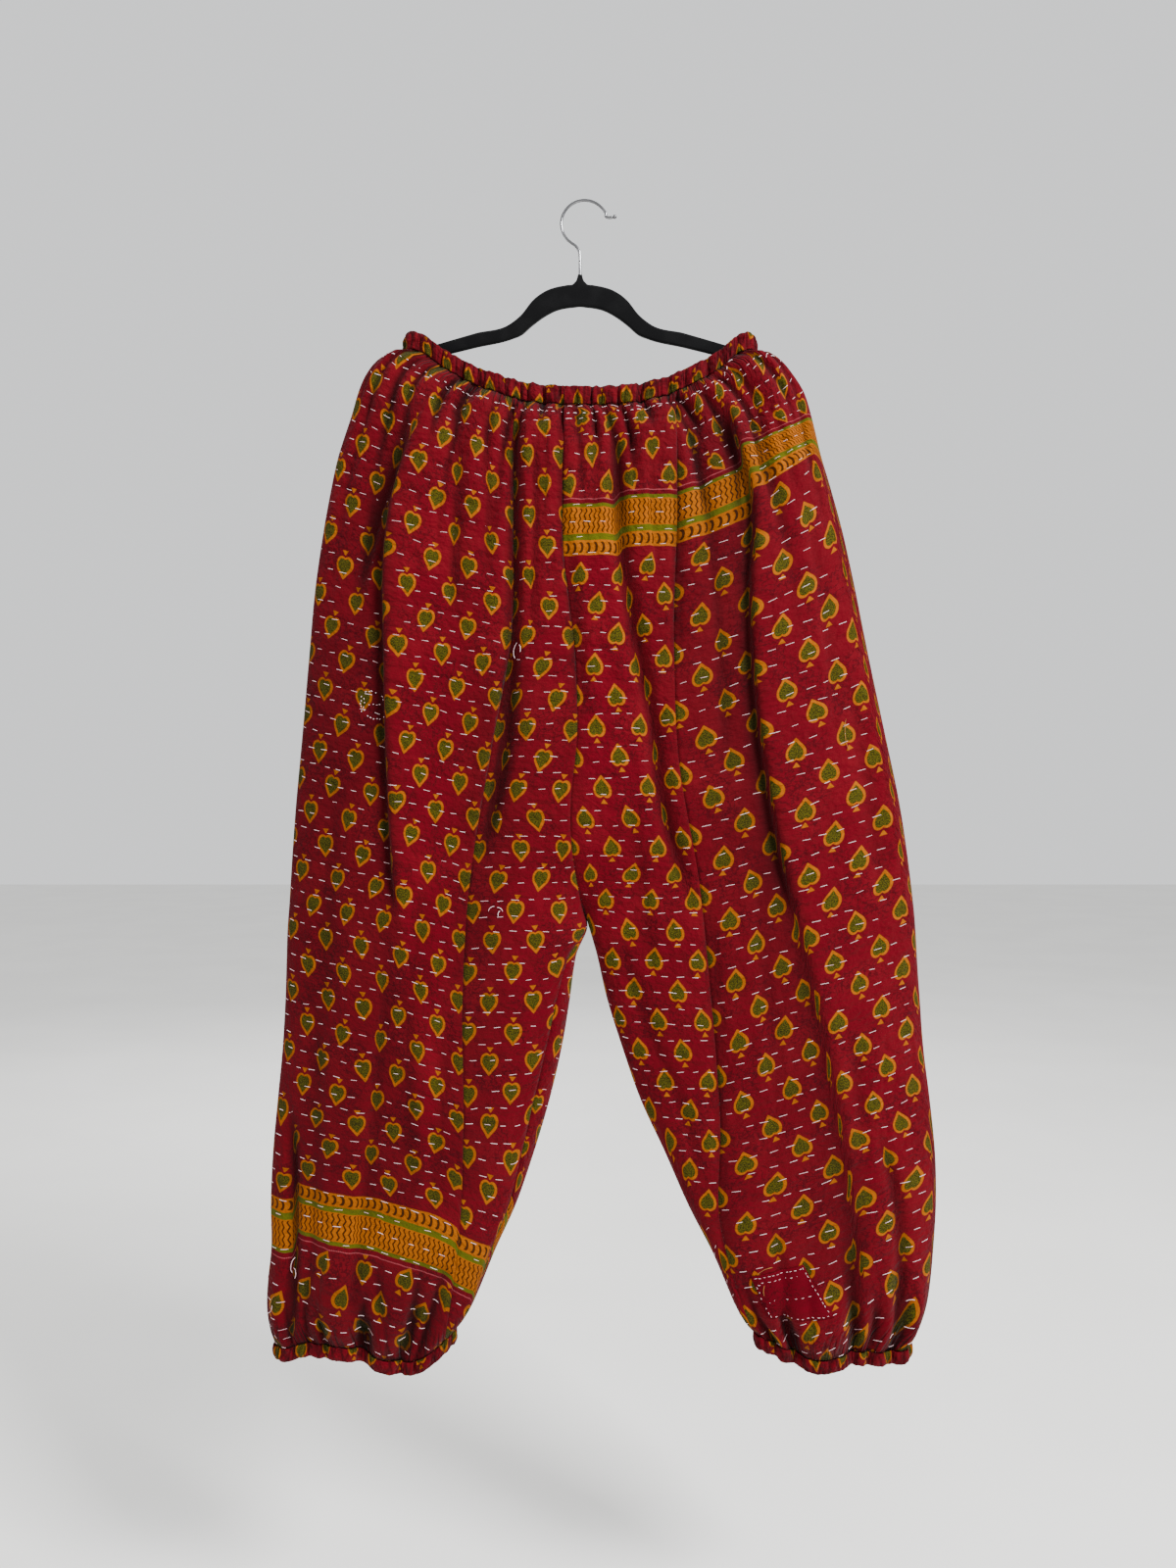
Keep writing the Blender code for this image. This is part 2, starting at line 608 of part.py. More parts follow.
def make_hanger_hook():
    """The chrome wire: stem, ring open at one side, and a small ball at the tip."""
    line, radius = hook_line()
    ahead = np.gradient(line, axis=0)
    ahead /= np.linalg.norm(ahead, axis=1, keepdims=True)
    rings = []
    for (x, z), (dx, dz), size in zip(line, ahead, radius):
        ring = []
        for k in range(WIRE_SIDES):
            turn = 2 * math.pi * k / WIRE_SIDES
            side, depth = size * math.cos(turn), size * math.sin(turn)
            ring.append((x - dz * side, depth, z + dx * side))
        rings.append(ring)
    loft("hanger_hook", np.array(rings), "chrome", False, True, flip=True)


# ---------------------------------------------------------------- build

def main():
    for thing in list(bpy.data.objects):
        bpy.data.objects.remove(thing, do_unlink=True)
    grids = {(side, panel): panel_grid(side, panel)
             for side, panels in PANEL_COLUMNS.items() for panel in panels}
    join_edges(grids)
    for (side, panel), (outer, normals) in grids.items():
        make_panel(side, panel, outer, normals)
    for side in PANEL_COLUMNS:
        make_ankle_casing(grids, side)
    make_patch(*grids["right", "outer"])
    make_waist_casing(grids)
    make_hanger_body()
    make_hanger_hook()


main()
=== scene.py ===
# %% [markdown]
# # Quilted joggers on a slim hanger
# The object is a pair of balloon trousers of hand-quilted cotton: two layers of old printed cloth held
# together by rows of white running stitch, gathered into an elastic waist and two elastic ankles. They
# hang flat on a slim velvet hanger with a wire hook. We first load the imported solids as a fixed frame.
# Everything we add is measured in that frame, so nothing has to be fitted afterwards.

# %% Load the frame
import math

import bpy
import numpy as np
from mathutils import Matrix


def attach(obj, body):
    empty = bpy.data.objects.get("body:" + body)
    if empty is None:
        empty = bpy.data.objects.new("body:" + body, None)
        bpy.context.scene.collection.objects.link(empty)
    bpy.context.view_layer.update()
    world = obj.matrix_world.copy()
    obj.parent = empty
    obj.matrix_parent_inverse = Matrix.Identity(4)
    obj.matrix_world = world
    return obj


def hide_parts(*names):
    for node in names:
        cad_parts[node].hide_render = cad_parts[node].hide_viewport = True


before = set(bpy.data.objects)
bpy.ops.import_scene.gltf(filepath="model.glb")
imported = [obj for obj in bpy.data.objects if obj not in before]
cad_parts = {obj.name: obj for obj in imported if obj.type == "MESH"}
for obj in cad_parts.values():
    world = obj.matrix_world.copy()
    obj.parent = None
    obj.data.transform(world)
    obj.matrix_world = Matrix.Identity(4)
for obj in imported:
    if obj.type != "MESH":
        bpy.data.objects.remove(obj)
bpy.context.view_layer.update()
MM = 0.001
BODY = "root"

# %% [markdown]
# ## The sizes of the cloth
# A garment is a surface, so we describe it as one. Each half of the trousers is a flattened tube, and a
# table gives its outline row by row, from the waist seam (level 0) to the ankle seam (level 26). A second
# number, q, runs round the half: 0 at the front inner edge, 1 at the side, 2 at the back inner edge.
# These are the tables that the solids were made from, in millimetres. We read them far more finely
# here, so that small gathers and creases fit between the rows.

# %% The outline, level by level
LEVEL_COLUMNS = ("out_z", "in_z", "left_out", "right_out", "left_in", "right_in", "depth", "leg",
                 "waist", "gather")
LEVELS = (
    (-145.3, -198.5, -172.0, 163.6, -19.0, -19.0, 13.0, 0.00, 1.00, 1.0),
    (-145.6, -203.7, -184.0, 175.5, -19.0, -19.0, 15.5, 0.00, 0.98, 2.6),
    (-153.9, -211.8, -198.5, 188.0, -19.3, -19.3, 18.0, 0.00, 0.94, 3.2),
    (-167.1, -223.8, -208.8, 199.0, -19.8, -19.8, 20.5, 0.00, 0.88, 3.5),
    (-184.0, -237.2, -216.3, 209.8, -19.9, -19.9, 22.5, 0.00, 0.80, 3.5),
    (-207.4, -256.2, -223.4, 217.3, -20.6, -20.6, 24.5, 0.00, 0.68, 3.2),
    (-243.1, -282.4, -235.1, 226.0, -20.6, -20.6, 26.0, 0.00, 0.52, 2.7),
    (-276.9, -310.1, -242.6, 236.0, -20.5, -20.5, 27.0, 0.00, 0.38, 2.1),
    (-318.2, -347.0, -250.0, 247.3, -18.7, -18.7, 28.0, 0.00, 0.24, 1.4),
    (-371.7, -383.8, -257.6, 259.0, -14.1, -14.1, 29.0, 0.00, 0.12, 0.9),
    (-435.5, -443.3, -263.3, 271.7, -7.7, -7.7, 30.0, 0.00, 0.04, 0.5),
    (-507.8, -511.8, -269.5, 287.0, -6.8, -6.8, 30.5, 0.00, 0.0, 0.2),
    (-572.5, -571.2, -275.5, 300.5, -12.5, -12.5, 31.0, 0.00, 0.0, 0.0),
    (-623.2, -617.3, -279.2, 308.3, -12.0, -12.0, 31.0, 0.30, 0.0, 0.0),
    (-670.1, -664.7, -282.0, 313.9, -4.5, -4.5, 30.5, 0.74, 0.0, 0.0),
    (-698.3, -693.0, -283.9, 316.3, 2.9, 3.7, 30.0, 1.0, 0.0, 0.0),
    (-731.1, -721.7, -284.8, 318.2, -8.0, 11.7, 29.5, 1.0, 0.0, 0.0),
    (-764.0, -763.0, -286.0, 320.5, -14.0, 21.0, 29.0, 1.0, 0.0, 0.0),
    (-810.9, -810.9, -288.8, 324.0, -22.0, 36.1, 29.0, 1.0, 0.0, 0.0),
    (-857.8, -858.8, -293.3, 329.9, -33.3, 53.0, 28.5, 1.0, 0.0, 0.0),
    (-909.5, -909.5, -298.0, 335.1, -48.3, 76.5, 28.0, 1.0, 0.0, 0.0),
    (-956.4, -958.3, -300.0, 336.0, -65.2, 98.1, 27.5, 1.0, 0.0, 0.3),
    (-998.6, -999.6, -299.5, 333.6, -84.0, 119.5, 27.0, 1.0, 0.0, 0.8),
    (-1031.5, -1031.5, -302.7, 330.8, -97.1, 133.7, 26.0, 1.0, 0.0, 1.5),
    (-1056.0, -1054.0, -303.6, 327.1, -107.0, 144.5, 24.5, 1.0, 0.0, 2.2),
    (-1077.0, -1070.0, -300.8, 320.5, -116.5, 154.5, 22.0, 1.0, 0.0, 2.4),
    (-1092.0, -1079.0, -296.0, 312.0, -124.0, 162.8, 18.0, 1.0, 0.0, 1.3),
)
LEVEL_TABLE = dict(zip(LEVEL_COLUMNS, zip(*LEVELS)))
LAST = len(LEVELS) - 1
CROTCH = 15                 # the first level of the closed legs
TURN = {"left": -1.0, "right": 1.0}     # which way is outwards
ROUNDNESS = ((0, 0.50), (2, 0.58), (6, 0.80), (26, 0.80))
BACK_SHARE = 0.85           # the back hangs flatter than the front
DIP_X = 3.3                 # lowest point of the waist
STRIP_MIN = 7.0             # narrowest stretch of an inner panel's front
WAIST_RISE = (              # share of the way out, and of the way up
    (0, 0), (0.15, 0.012), (0.3, 0.055), (0.4, 0.125), (0.5, 0.225), (0.6, 0.35), (0.7, 0.51),
    (0.8, 0.71), (0.88, 0.92), (0.94, 1), (1, 1),
)
ANKLE_DROP = (              # share of the way out, mm down on the left leg and on the right one
    (0, 0, 0), (0.1, 10, 6), (0.22, 22, 12), (0.32, 19, 15.5), (0.42, 13, 15), (0.55, 3, 9.5),
    (0.7, -2, 6.5), (0.82, -4, 5), (0.92, 1, 3), (1, 0, 0),
)
DROP_BY_LEVEL = ((0, 0), (21, 0), (23, 0.25), (25, 0.8), (26, 1))
PANEL_SEAM_ENDS = (-195.0, -1099.0)
PANEL_SEAM = {"left": (-68, -67, -69, -88, -107, -114, -113, -118, -136),
              "right": (87, 87, 84, 88, 107, 119, 127, 129, 171)}
INSEAM_TURN = {             # level, and mm that the inseam is turned onto the front
    "left": ((15, 0), (16, 7), (17, 13), (18, 15), (19, 15), (20, 11), (21, 6), (23, 3), (26, 3)),
    "right": ((15, 0), (26, 0)),
}
print("levels:", len(LEVELS), "from z", LEVELS[0][1], "to", LEVELS[-1][1], "mm")

# %% [markdown]
# ## The folds
# Cloth that is wider than its waistband hangs in folds. The largest ones are in the solids too. A trough
# dips all along its line. A step, left or right, is one fold of cloth lying over the next: it drops on
# one side and laps over it from the other, which leaves a dark line. `take` is how much cloth the fold
# hides from side to side and `slip` how far the print is shifted along it, so that the pattern breaks
# there as it does on the real thing. The creases are shallower and are made only here.

# %% Large folds and small creases
FOLD_COLUMNS = ("kind", "top", "bottom", "xs", "width", "depth", "take", "slip")
FOLDS = {
    "front": (
        ("left", -185, -700, (-146, -183, -186, -182, -174), 5, 8, 12),
        ("trough", -192, -640, (-66.5, -66.5, -68, -76, -99), 8, 12, 10),
        ("trough", -205, -680, (31, 31, 42, 61, 75, 104), 8, 8, 14, 8),
        ("left", -180, -700, (128, 159, 158, 164.5, 181, 203), 5.5, 8, 16, 20),
        ("left", -630, -1085, (187.5, 208, 228, 245, 257, 260), 9, 4, 16, 20),
        ("trough", -860, -1095, (270, 292, 299, 296), 7, 6, 6),
        ("trough", -850, -1140, (-279, -276, -276, -276), 6, 8, 14, 20),
        ("trough", -190, -420, (-112, -120, -124), 7, 5, 5),
        ("trough", -190, -520, (-22, -20, -8, 0), 7, 5),
        ("right", -700, -1100, (-190, -200, -214, -230), 9, 5, 4),
        ("trough", -640, -1060, (112, 124, 128, 132), 9, 4),
    ),
    "back": (
        ("left", -185, -760, (-126, -150, -166, -170), 6, 8, 12),
        ("trough", -192, -620, (-66, -64, -76, -96), 8, 10, 8),
        ("trough", -200, -700, (22, 34, 30, 52), 8, 8, 12),
        ("right", -190, -980, (118, 150, 176, 190, 226), 6, 8, 14, 12),
        ("trough", -820, -1100, (-214, -224, -206), 8, 6, 6),
        ("trough", -860, -1100, (262, 268, 250), 8, 6, 6),
    ),
}
CREASES = {
    "front": (
        ("trough", -168, -420, (-150, -184, -206, -226), 7, 3.5, 3),
        ("left", -176, -400, (-158, -172, -196, -212), 4, 2.2, 3),
        ("trough", -196, -380, (-92, -90, -92), 5, 3.5, 3),
        ("trough", -200, -440, (-47, -47, -52), 5, 3.5, 4),
        ("left", -205, -330, (-33, -34, -36), 4, 2.5, 3),
        ("trough", -200, -330, (6, 9, 10), 5, 3, 3),
        ("right", -205, -400, (54, 60, 70), 4, 2.5, 3),
        ("trough", -196, -470, (88, 87, 86), 6, 4),
        ("trough", -190, -560, (100, 116, 128, 134), 8, 3.5, 3),
        ("left", -178, -330, (138, 146, 150), 4, 3, 3),
        ("trough", -166, -300, (158, 186, 200), 5, 3.5, 3),
        ("right", -250, -560, (196, 222, 238), 8, 2.5),
        ("trough", -440, -700, (250, 272, 290), 12, 3.5),
        ("trough", -520, -860, (-232, -240, -246, -250), 12, 3),
        ("trough", -620, -960, (-150, -158, -166, -160), 10, 3),
        ("left", -740, -1080, (-250, -246, -250, -262), 8, 2.8),
        ("trough", -760, -1010, (-128, -136, -150), 9, 2.5),
        ("trough", -690, -960, (28, 56, 92, 116), 8, 3),
        ("left", -560, -760, (44, 60, 70), 7, 2.5),
        ("right", -600, -900, (150, 158, 170, 176), 9, 2.5),
        ("trough", -760, -1040, (246, 258, 262, 250), 9, 3),
        ("trough", -960, -1092, (176, 186, 190), 6, 3.5, 3),
        ("trough", -980, -1095, (206, 210, 214), 5, 3, 3),
        ("left", -960, -1090, (-236, -244, -252), 5, 3, 3),
        ("trough", -1000, -1100, (-196, -190, -186), 5, 3.5, 3),
        ("right", -1010, -1105, (-160, -166, -172), 5, 3, 3),
    ),
    "back": (
        ("trough", -190, -400, (-104, -112, -118), 6, 4, 3),
        ("trough", -172, -380, (-160, -190, -208), 6, 3.5, 3),
        ("left", -205, -360, (-34, -36, -40), 4, 2.5, 3),
        ("trough", -205, -390, (4, 8, 4), 5, 3, 3),
        ("trough", -196, -430, (72, 78, 90), 6, 3.5, 3),
        ("right", -180, -340, (146, 170, 184), 4, 3, 3),
        ("trough", -460, -820, (-230, -244, -250), 12, 3.5),
        ("left", -640, -980, (-140, -150, -168), 9, 3),
        ("trough", -560, -860, (230, 250, 262), 12, 3.5),
        ("right", -700, -1010, (120, 140, 158), 9, 3),
        ("trough", -980, -1096, (196, 204, 210), 5, 3, 3),
        ("trough", -990, -1098, (-186, -182, -178), 5, 3, 3),
        ("right", -1000, -1096, (-246, -250, -256), 5, 3, 3),
    ),
}
STEP_REACH = 34.0           # how far a step's low side takes to come back up
FOLD_FADE = 70.0            # length over which a fold starts and ends
PRINT_FADE = 70.0           # length over which the shift of the print starts and ends
LAP = 0.45                  # how far a step leans over its low side, as a share of its depth
print("large folds:", sum(map(len, FOLDS.values())), "creases:", sum(map(len, CREASES.values())))

# %% [markdown]
# ## Reading a table smoothly
# A row every few centimetres is enough to describe the outline, as long as we read between the rows
# along a smooth curve. This is a cubic that passes through every row.


# %% Table readers
def smooth(xs, ys, x):
    """Read a table at x along a smooth curve through its rows."""
    xs, ys = np.asarray(xs, float), np.asarray(ys, float)
    slope = np.gradient(ys, xs)
    x = np.clip(x, xs[0], xs[-1])
    i = np.clip(np.searchsorted(xs, x, side="right") - 1, 0, len(xs) - 2)
    span = xs[i + 1] - xs[i]
    s = (x - xs[i]) / span
    near = (1 + 2 * s) * (1 - s) ** 2 * ys[i] + s * (1 - s) ** 2 * span * slope[i]
    far = s * s * (3 - 2 * s) * ys[i + 1] + s * s * (s - 1) * span * slope[i + 1]
    return near + far


def straight(table, x):
    """Read a table of pairs at x along straight lines."""
    return np.interp(x, *zip(*table))


def blend(low, high, x):
    """0 below low, 1 above high, smooth between."""
    s = np.clip((x - low) / (high - low), 0.0, 1.0)
    return s * s * (3 - 2 * s)


def band(low, high, fade, x):
    """1 between low and high, fading to 0 inside both ends."""
    return blend(low, low + fade, x) * (1 - blend(high - fade, high, x))


def along(xs, top, bottom, z):
    """x of a line given at equal steps from top to bottom, at height z."""
    return smooth(np.linspace(0.0, 1.0, len(xs)), xs, (top - np.asarray(z)) / (top - bottom))


def near_line(line, fade, x, z):
    """Distance to the right of a line of a table, and how much of the line is there at height z."""
    top, bottom = line["top"], line["bottom"]
    here = band(bottom, top, min(fade, (top - bottom) / 3), z)
    return x - along(line["xs"], top, bottom, z), here


def level_value(column, level):
    """One column of LEVELS at a level."""
    return float(smooth(range(LAST + 1), LEVEL_TABLE[column], level))


def running(steps, axis=0):
    """The running total of steps, from 0."""
    return np.concatenate([np.zeros_like(np.take(steps, [0], axis)), np.cumsum(steps, axis)], axis)


def unit(vectors):
    """Vectors made one long."""
    return vectors / np.maximum(np.linalg.norm(vectors, axis=-1, keepdims=True), 1e-9)


print("half depth where the legs part, mm:", level_value("depth", CROTCH))

# %% [markdown]
# ## One level of one half
# The section of a hanging trouser leg is a flat tube with blunt edges. A super-ellipse gives that with
# one power: below 1 it is blunter than an ellipse. Above the crotch the tube is open at the centre seam,
# so only half of it is there; `leg` blends from the open half to the closed leg.

# %% The section
SECTION_POINTS = 241


def face_line(x, y, z):
    """One face of a section, with each point's share of the length from the inner edge."""
    length = running(np.hypot(np.diff(x), np.diff(y)))
    return {"x": x, "y": y, "z": z, "q": length / length[-1]}


def section_height(side, level, read, out, x, out_x):
    """Height of each point: straight across, curved at the waist and the ankle."""
    rise = smooth(*zip(*WAIST_RISE), np.abs(x - DIP_X) / abs(out_x - DIP_X))
    way = out + (rise - out) * read["waist"]
    shares, left, right = zip(*ANKLE_DROP)
    drop = smooth(shares, left if side == "left" else right, out) * straight(DROP_BY_LEVEL, level)
    return read["in_z"] + (read["out_z"] - read["in_z"]) * way - drop


def section(side, level):
    """The plain section of one half at a level, before folds."""
    read = {name: level_value(name, level) for name in LEVEL_COLUMNS}
    in_x, out_x, depth = read[side + "_in"], read[side + "_out"], read["depth"]
    leg = min(max(read["leg"], 0.0), 1.0) if level < CROTCH else 1.0
    if level < CROTCH:
        in_x = (read["left_in"] + read["right_in"]) / 2
    angle = np.linspace(0.0, 1.0, SECTION_POINTS)
    power = straight(ROUNDNESS, level)
    open_out = np.sin(angle * math.pi / 2) ** power
    open_deep = np.maximum(np.cos(angle * math.pi / 2), 0) ** power
    swing = np.cos(angle * math.pi)
    leg_out = (1 - np.sign(swing) * np.abs(swing) ** power) / 2
    leg_deep = np.maximum(np.sin(angle * math.pi), 0) ** power
    out = open_out + (leg_out - open_out) * leg
    deep = depth * (open_deep + (leg_deep - open_deep) * leg)
    x = in_x + (out_x - in_x) * out
    z = section_height(side, level, read, out, x, out_x)
    return {"side": side, "level": level, "turn": TURN[side], "leg": leg, "gather": read["gather"],
            "depth": depth, "front": face_line(x, -deep, z), "back": face_line(x, BACK_SHARE * deep, z)}


def wrapped(part, q):
    """q brought back between 0 and 2 on a closed leg."""
    return np.mod(q, 2.0) if part["leg"] > 0.999 else q


def section_points(part, q):
    """Points of the plain section at q."""
    q = wrapped(part, q)
    front, back = ([np.interp(np.clip(share, 0.0, 1.0), part[face]["q"], part[face][axis])
                    for axis in "xyz"] for face, share in (("front", q), ("back", 2.0 - q)))
    return np.where(q <= 1.0, front, back).T


print("left half of the waist, mm across:", round(np.ptp(section("left", 0)["front"]["x"]), 1))

# %% [markdown]
# ## Where the seams cross a level
# Each half is cut in three: a front inner panel, an outer panel that wraps round the side, and a back
# inner panel. Their seams are lines down the garment, so at each level we ask for the q where the
# section meets them.


# %% Seams
def panel_seam(part, face):
    """q of the panel seam on a face."""
    line = part[face]
    seam_x = along(PANEL_SEAM[part["side"]], *PANEL_SEAM_ENDS, line["z"])
    share = max(np.interp(0.0, (line["x"] - seam_x) * part["turn"], line["q"]),
                np.interp(STRIP_MIN, (line["x"] - line["x"][0]) * part["turn"], line["q"]))
    return share if face == "front" else 2.0 - share


def inseam(part):
    """q of the inner edge; a leg's inseam may be turned onto the front."""
    if part["leg"] < 0.999:
        return 0.0
    line = part["front"]
    turn = straight(INSEAM_TURN[part["side"]], part["level"])
    return float(np.interp(turn, (line["x"] - line["x"][0]) * part["turn"], line["q"]))


print("q of the left panel seam where the legs part:",
      round(float(panel_seam(section("left", CROTCH), "front")), 3))

# %% [markdown]
# ## Moving the cloth into folds
# Each fold is a bump in distance from its own line, faded at both ends. We add them all up and move the
# cloth outwards by the sum. A step also leans sideways over its low side. Between the named folds, cloth
# is never smooth, so two sums of sine waves with odd wavelengths give it slow and quick unevenness.


# %% Fold and crease depths
def fold_moves(x, z, face):
    """Outward and sideways moves, hidden cloth and slip of the print at x, z on one face."""
    out, aside, take, slip = np.zeros((4,) + np.shape(x))
    for row in FOLDS[face] + CREASES[face]:
        fold = dict(zip(FOLD_COLUMNS, row))
        width, depth = fold["width"], fold["depth"]
        off, here = near_line(fold, FOLD_FADE, x, z)
        if fold["kind"] == "trough":
            out -= here * depth * np.exp(-(off / width) ** 2)
        else:
            turn = TURN[fold["kind"]]
            low = -np.exp(-(off / STEP_REACH) ** 2)
            out += here * depth * low * (1.35 * blend(-width, width, off * turn) - 0.35)
            lean = np.exp(-((off * turn + 0.6 * width) / (1.1 * width)) ** 2)
            aside += here * LAP * depth * turn * lean
        marked = band(fold["bottom"], fold["top"], PRINT_FADE, z) * blend(-0.5 * width, 0.5 * width, off)
        take += marked * fold.get("take", 0)
        slip += marked * fold.get("slip", 0)
    return out, aside, take, slip


def unevenness(x, z, face):
    """Slow and quick unevenness of hanging cloth, longer down than across."""
    shift = 0.0 if face == "front" else 3.7
    slow = np.sin(x / 31 + z / 160 + shift) + np.sin(x / 47 - z / 95 + 1.3 + shift)
    slow = slow + 0.8 * np.sin(x / 19.5 + z / 240 + 2.2 * shift + np.sin(z / 130))
    quick = np.sin(x / 6.1 + 2.1 * np.sin(z / 71 + shift)) * np.sin(z / 43 + x / 29)
    quick = quick + 0.7 * np.sin(z / 9.7 + 1.7 * np.sin(x / 37 + shift)) * np.sin(x / 23 + z / 88)
    return 0.55 * slow + 0.22 * quick


print("deepest fold, mm:", max(row[FOLD_COLUMNS.index("depth")] for rows in FOLDS.values() for row in rows))

# %% [markdown]
# ## Painted shade beside the large folds
# Broad soft bands of painted shade follow the large folds, most of them darker on one side of the fold
# only. Each is a line with a reach to its left and right; a minus strength is a band of painted light.

# %% Bands of painted shade and light
SHADE_BAND_COLUMNS = ("top", "bottom", "xs", "left", "right", "strength")
SHADE_BANDS = {
    "front": (
        (-240, -1000, (-183, -186, -186, -180, -170, -160, -150), 62, 5, 0.33),
        (-380, -1000, (-246, -256, -262, -264), 34, 40, 0.30),
        (-420, -980, (-74, -88, -102, -109, -113), 26, 30, 0.33),
        (-170, -700, (128, 160, 156, 162, 180, 204), 66, 5, 0.42),
        (-620, -1060, (187, 210, 237, 259, 263), 60, 5, 0.28),
        (-300, -740, (14, 18, 21, 22), 30, 34, -0.17),
        (-975, -1125, (-190, -190, -190), 130, 130, 0.32),
        (-150, -300, (-196, -186, -182), 18, 22, 0.20),
        (-240, -900, (-146, -146, -142), 22, 26, -0.11),
        (-260, -960, (236, 268, 292), 50, 50, -0.10),
        (-330, -620, (-8, -10, 0), 8, 8, 0.22),
    ),
    "back": (
        (-240, -980, (-126, -150, -166, -170, -160), 60, 5, 0.28),
        (-420, -980, (-84, -96, -108, -112), 28, 28, 0.28),
        (-240, -980, (118, 150, 176, 190, 226), 5, 60, 0.30),
        (-300, -740, (14, 18, 21, 22), 30, 34, -0.15),
        (-975, -1125, (-190, -190, -190), 130, 130, 0.28),
    ),
}
SHADE_BAND_FADE = 70.0


def band_shade(x, z, face):
    """How much painted shade the bands put at x, z on one face; below 0 it is painted light."""
    total = np.zeros(np.shape(x))
    for row in SHADE_BANDS[face]:
        tone = dict(zip(SHADE_BAND_COLUMNS, row))
        off, here = near_line(tone, SHADE_BAND_FADE, x, z)
        reach = np.where(off < 0, tone["left"], tone["right"])
        total += tone["strength"] * here * np.exp(-(off / reach) ** 2)
    return total


print("bands:", sum(map(len, SHADE_BANDS.values())))

# %% [markdown]
# ## The gathers
# Below the waist casing the extra cloth stands in small folds, each of its own width and length. A
# regular wave would look like a curtain, so we draw each gather's place, width, height and length from
# a seeded list of random numbers. The ankles have the same, shorter.

# %% Gathers of uneven size
GATHERS_PER_FACE = 12
GATHER_SEED = {"left": 11, "right": 23}
GATHER_STRAY = 0.34         # how far a gather strays from its even place
GATHER_WIDTH = (0.15, 0.30) # least and most
GATHER_RANGES = (           # least and most of a valley's depth, the levels where it ends, and its lean
    (0.5, 1.35), (3.5, 11.5), (20.6, 24.0), (-0.005, 0.005))
GATHER_DEPTH = 3.2          # depth of a valley for each millimetre of the table's gather column
GATHER_STAND = 0.55         # how far the cloth stands out between two valleys, as a share of that
GATHER_POWER = 1.3          # how sharp a valley is
WAIST_FADE, ANKLE_FADE = 3.5, 1.8       # levels over which a valley dies out


def gather_list(side):
    """Place, width, depth, ends and lean of the valley beside each gather round one half."""
    rng = np.random.default_rng(GATHER_SEED[side])
    count = 2 * GATHERS_PER_FACE
    place = (np.arange(count) + 0.5 + rng.uniform(-GATHER_STRAY, GATHER_STRAY, count)) / GATHERS_PER_FACE
    width = rng.uniform(*GATHER_WIDTH, count) / GATHERS_PER_FACE
    others = [rng.uniform(*ends, count) for ends in GATHER_RANGES]
    return np.stack([place, width, *others], axis=1)


GATHERS = {side: gather_list(side) for side in GATHER_SEED}


def gather_move(side, q, level, size):
    """Outward move of the gathers; size is the table's height at this level."""
    total = np.full(np.shape(q), GATHER_STAND)
    for place, width, depth, waist_end, ankle_start, lean in GATHERS[side]:
        live = (1 - blend(waist_end - WAIST_FADE, waist_end, level) if level < CROTCH
                else blend(ankle_start, ankle_start + ANKLE_FADE, level))
        off = np.abs(q - place - lean * level) / (width * (1 + 0.06 * min(level, 12)))
        total -= depth * live * np.exp(-off ** GATHER_POWER)
    return total * size * GATHER_DEPTH


print("gathers in each half:", {side: len(rows) for side, rows in GATHERS.items()})

# %% [markdown]
# A row of cloth is the plain section, moved outwards by everything that we have so far. Close to the
# side and the seams, and at both ends, the moves fade, so that neighbours still meet.


# %% One row of cloth
DEEPEST = 0.55              # how deep a fold may go, as a share of the half depth
SIDE_FADE, INNER_FADE, GATHER_SIDE_FADE = 0.06, 0.08, 0.12      # in q
ANKLE_EXTRA = 0.6           # the ankles' gathers stand out by this much more


def cloth_row(part, q):
    """Points of the cloth at one level, with the print's hidden cloth and slip."""
    step = 0.002
    point = section_points(part, q)
    ahead = section_points(part, q + step) - section_points(part, q - step)
    outward = unit(np.stack([ahead[:, 1], -ahead[:, 0]], axis=-1) * part["turn"])
    x, z, level = point[:, 0], point[:, 2], part["level"]
    round_q = wrapped(part, q)
    from_side = np.abs(round_q - 1.0)
    near_inner = blend(0.0, INNER_FADE, np.minimum(np.abs(round_q), np.abs(2.0 - round_q)))
    near_inner = 1 + (near_inner - 1) * blend(0.0, 1.0, part["leg"])
    keep = blend(0.0, SIDE_FADE, from_side) * near_inner
    keep = keep * blend(0.0, 3.0, level) * (1 - blend(LAST - 2.0, LAST, level))
    front, back = ((*fold_moves(x, z, face), unevenness(x, z, face)) for face in ("front", "back"))
    out, aside, take, slip, rough = np.where(round_q <= 1.0, front, back)
    ankle = 1 + ANKLE_EXTRA * blend(22.0, 24.0, level)
    gather = gather_move(part["side"], q, level, max(part["gather"] * ankle, 1.6 - level, 0.0))
    move = (out + rough) * keep + gather * near_inner * blend(0.0, GATHER_SIDE_FADE, from_side)
    limit = DEEPEST * part["depth"]
    move = np.where(move < 0, -limit * np.tanh(-move / limit), move)
    point[:, :2] += outward * move[:, None]
    point[:, 0] += aside * keep
    return point, take * keep, slip * keep, move


# %% [markdown]
# ## The whole half as one grid
# We lay a grid of points over each half, with a row about every 3.6 mm. The columns are shared out so
# that the seams fall exactly on a column: each panel can then be cut from the grid, and its edges meet
# its neighbours'. Some values are measured along a row or down a column: how far the print has shifted,
# how hollow each spot is, which is painted on as shade, and how far down the cloth it lies.

# %% Rows and columns
ROW_STEP = 3.6
PANEL_COLUMNS = {
    "left": {"inner_front": 24, "outer": 136, "inner_back": 24},
    "right": {"inner_front": 42, "outer": 124, "inner_back": 42},
}
# How hollow the cloth lies sets the painted shade in its folds; HOLLOW_SHARE is that shade's strength by
# level.
HOLLOW_COLUMNS = 8          # columns on each side that a point is compared with
HOLLOW_DEPTH = 3.0          # mm
HOLLOW_SHARE = ((0, 1.0), (4, 1.0), (9, 0.6), (22, 0.6), (24, 0.9))  # level and strength


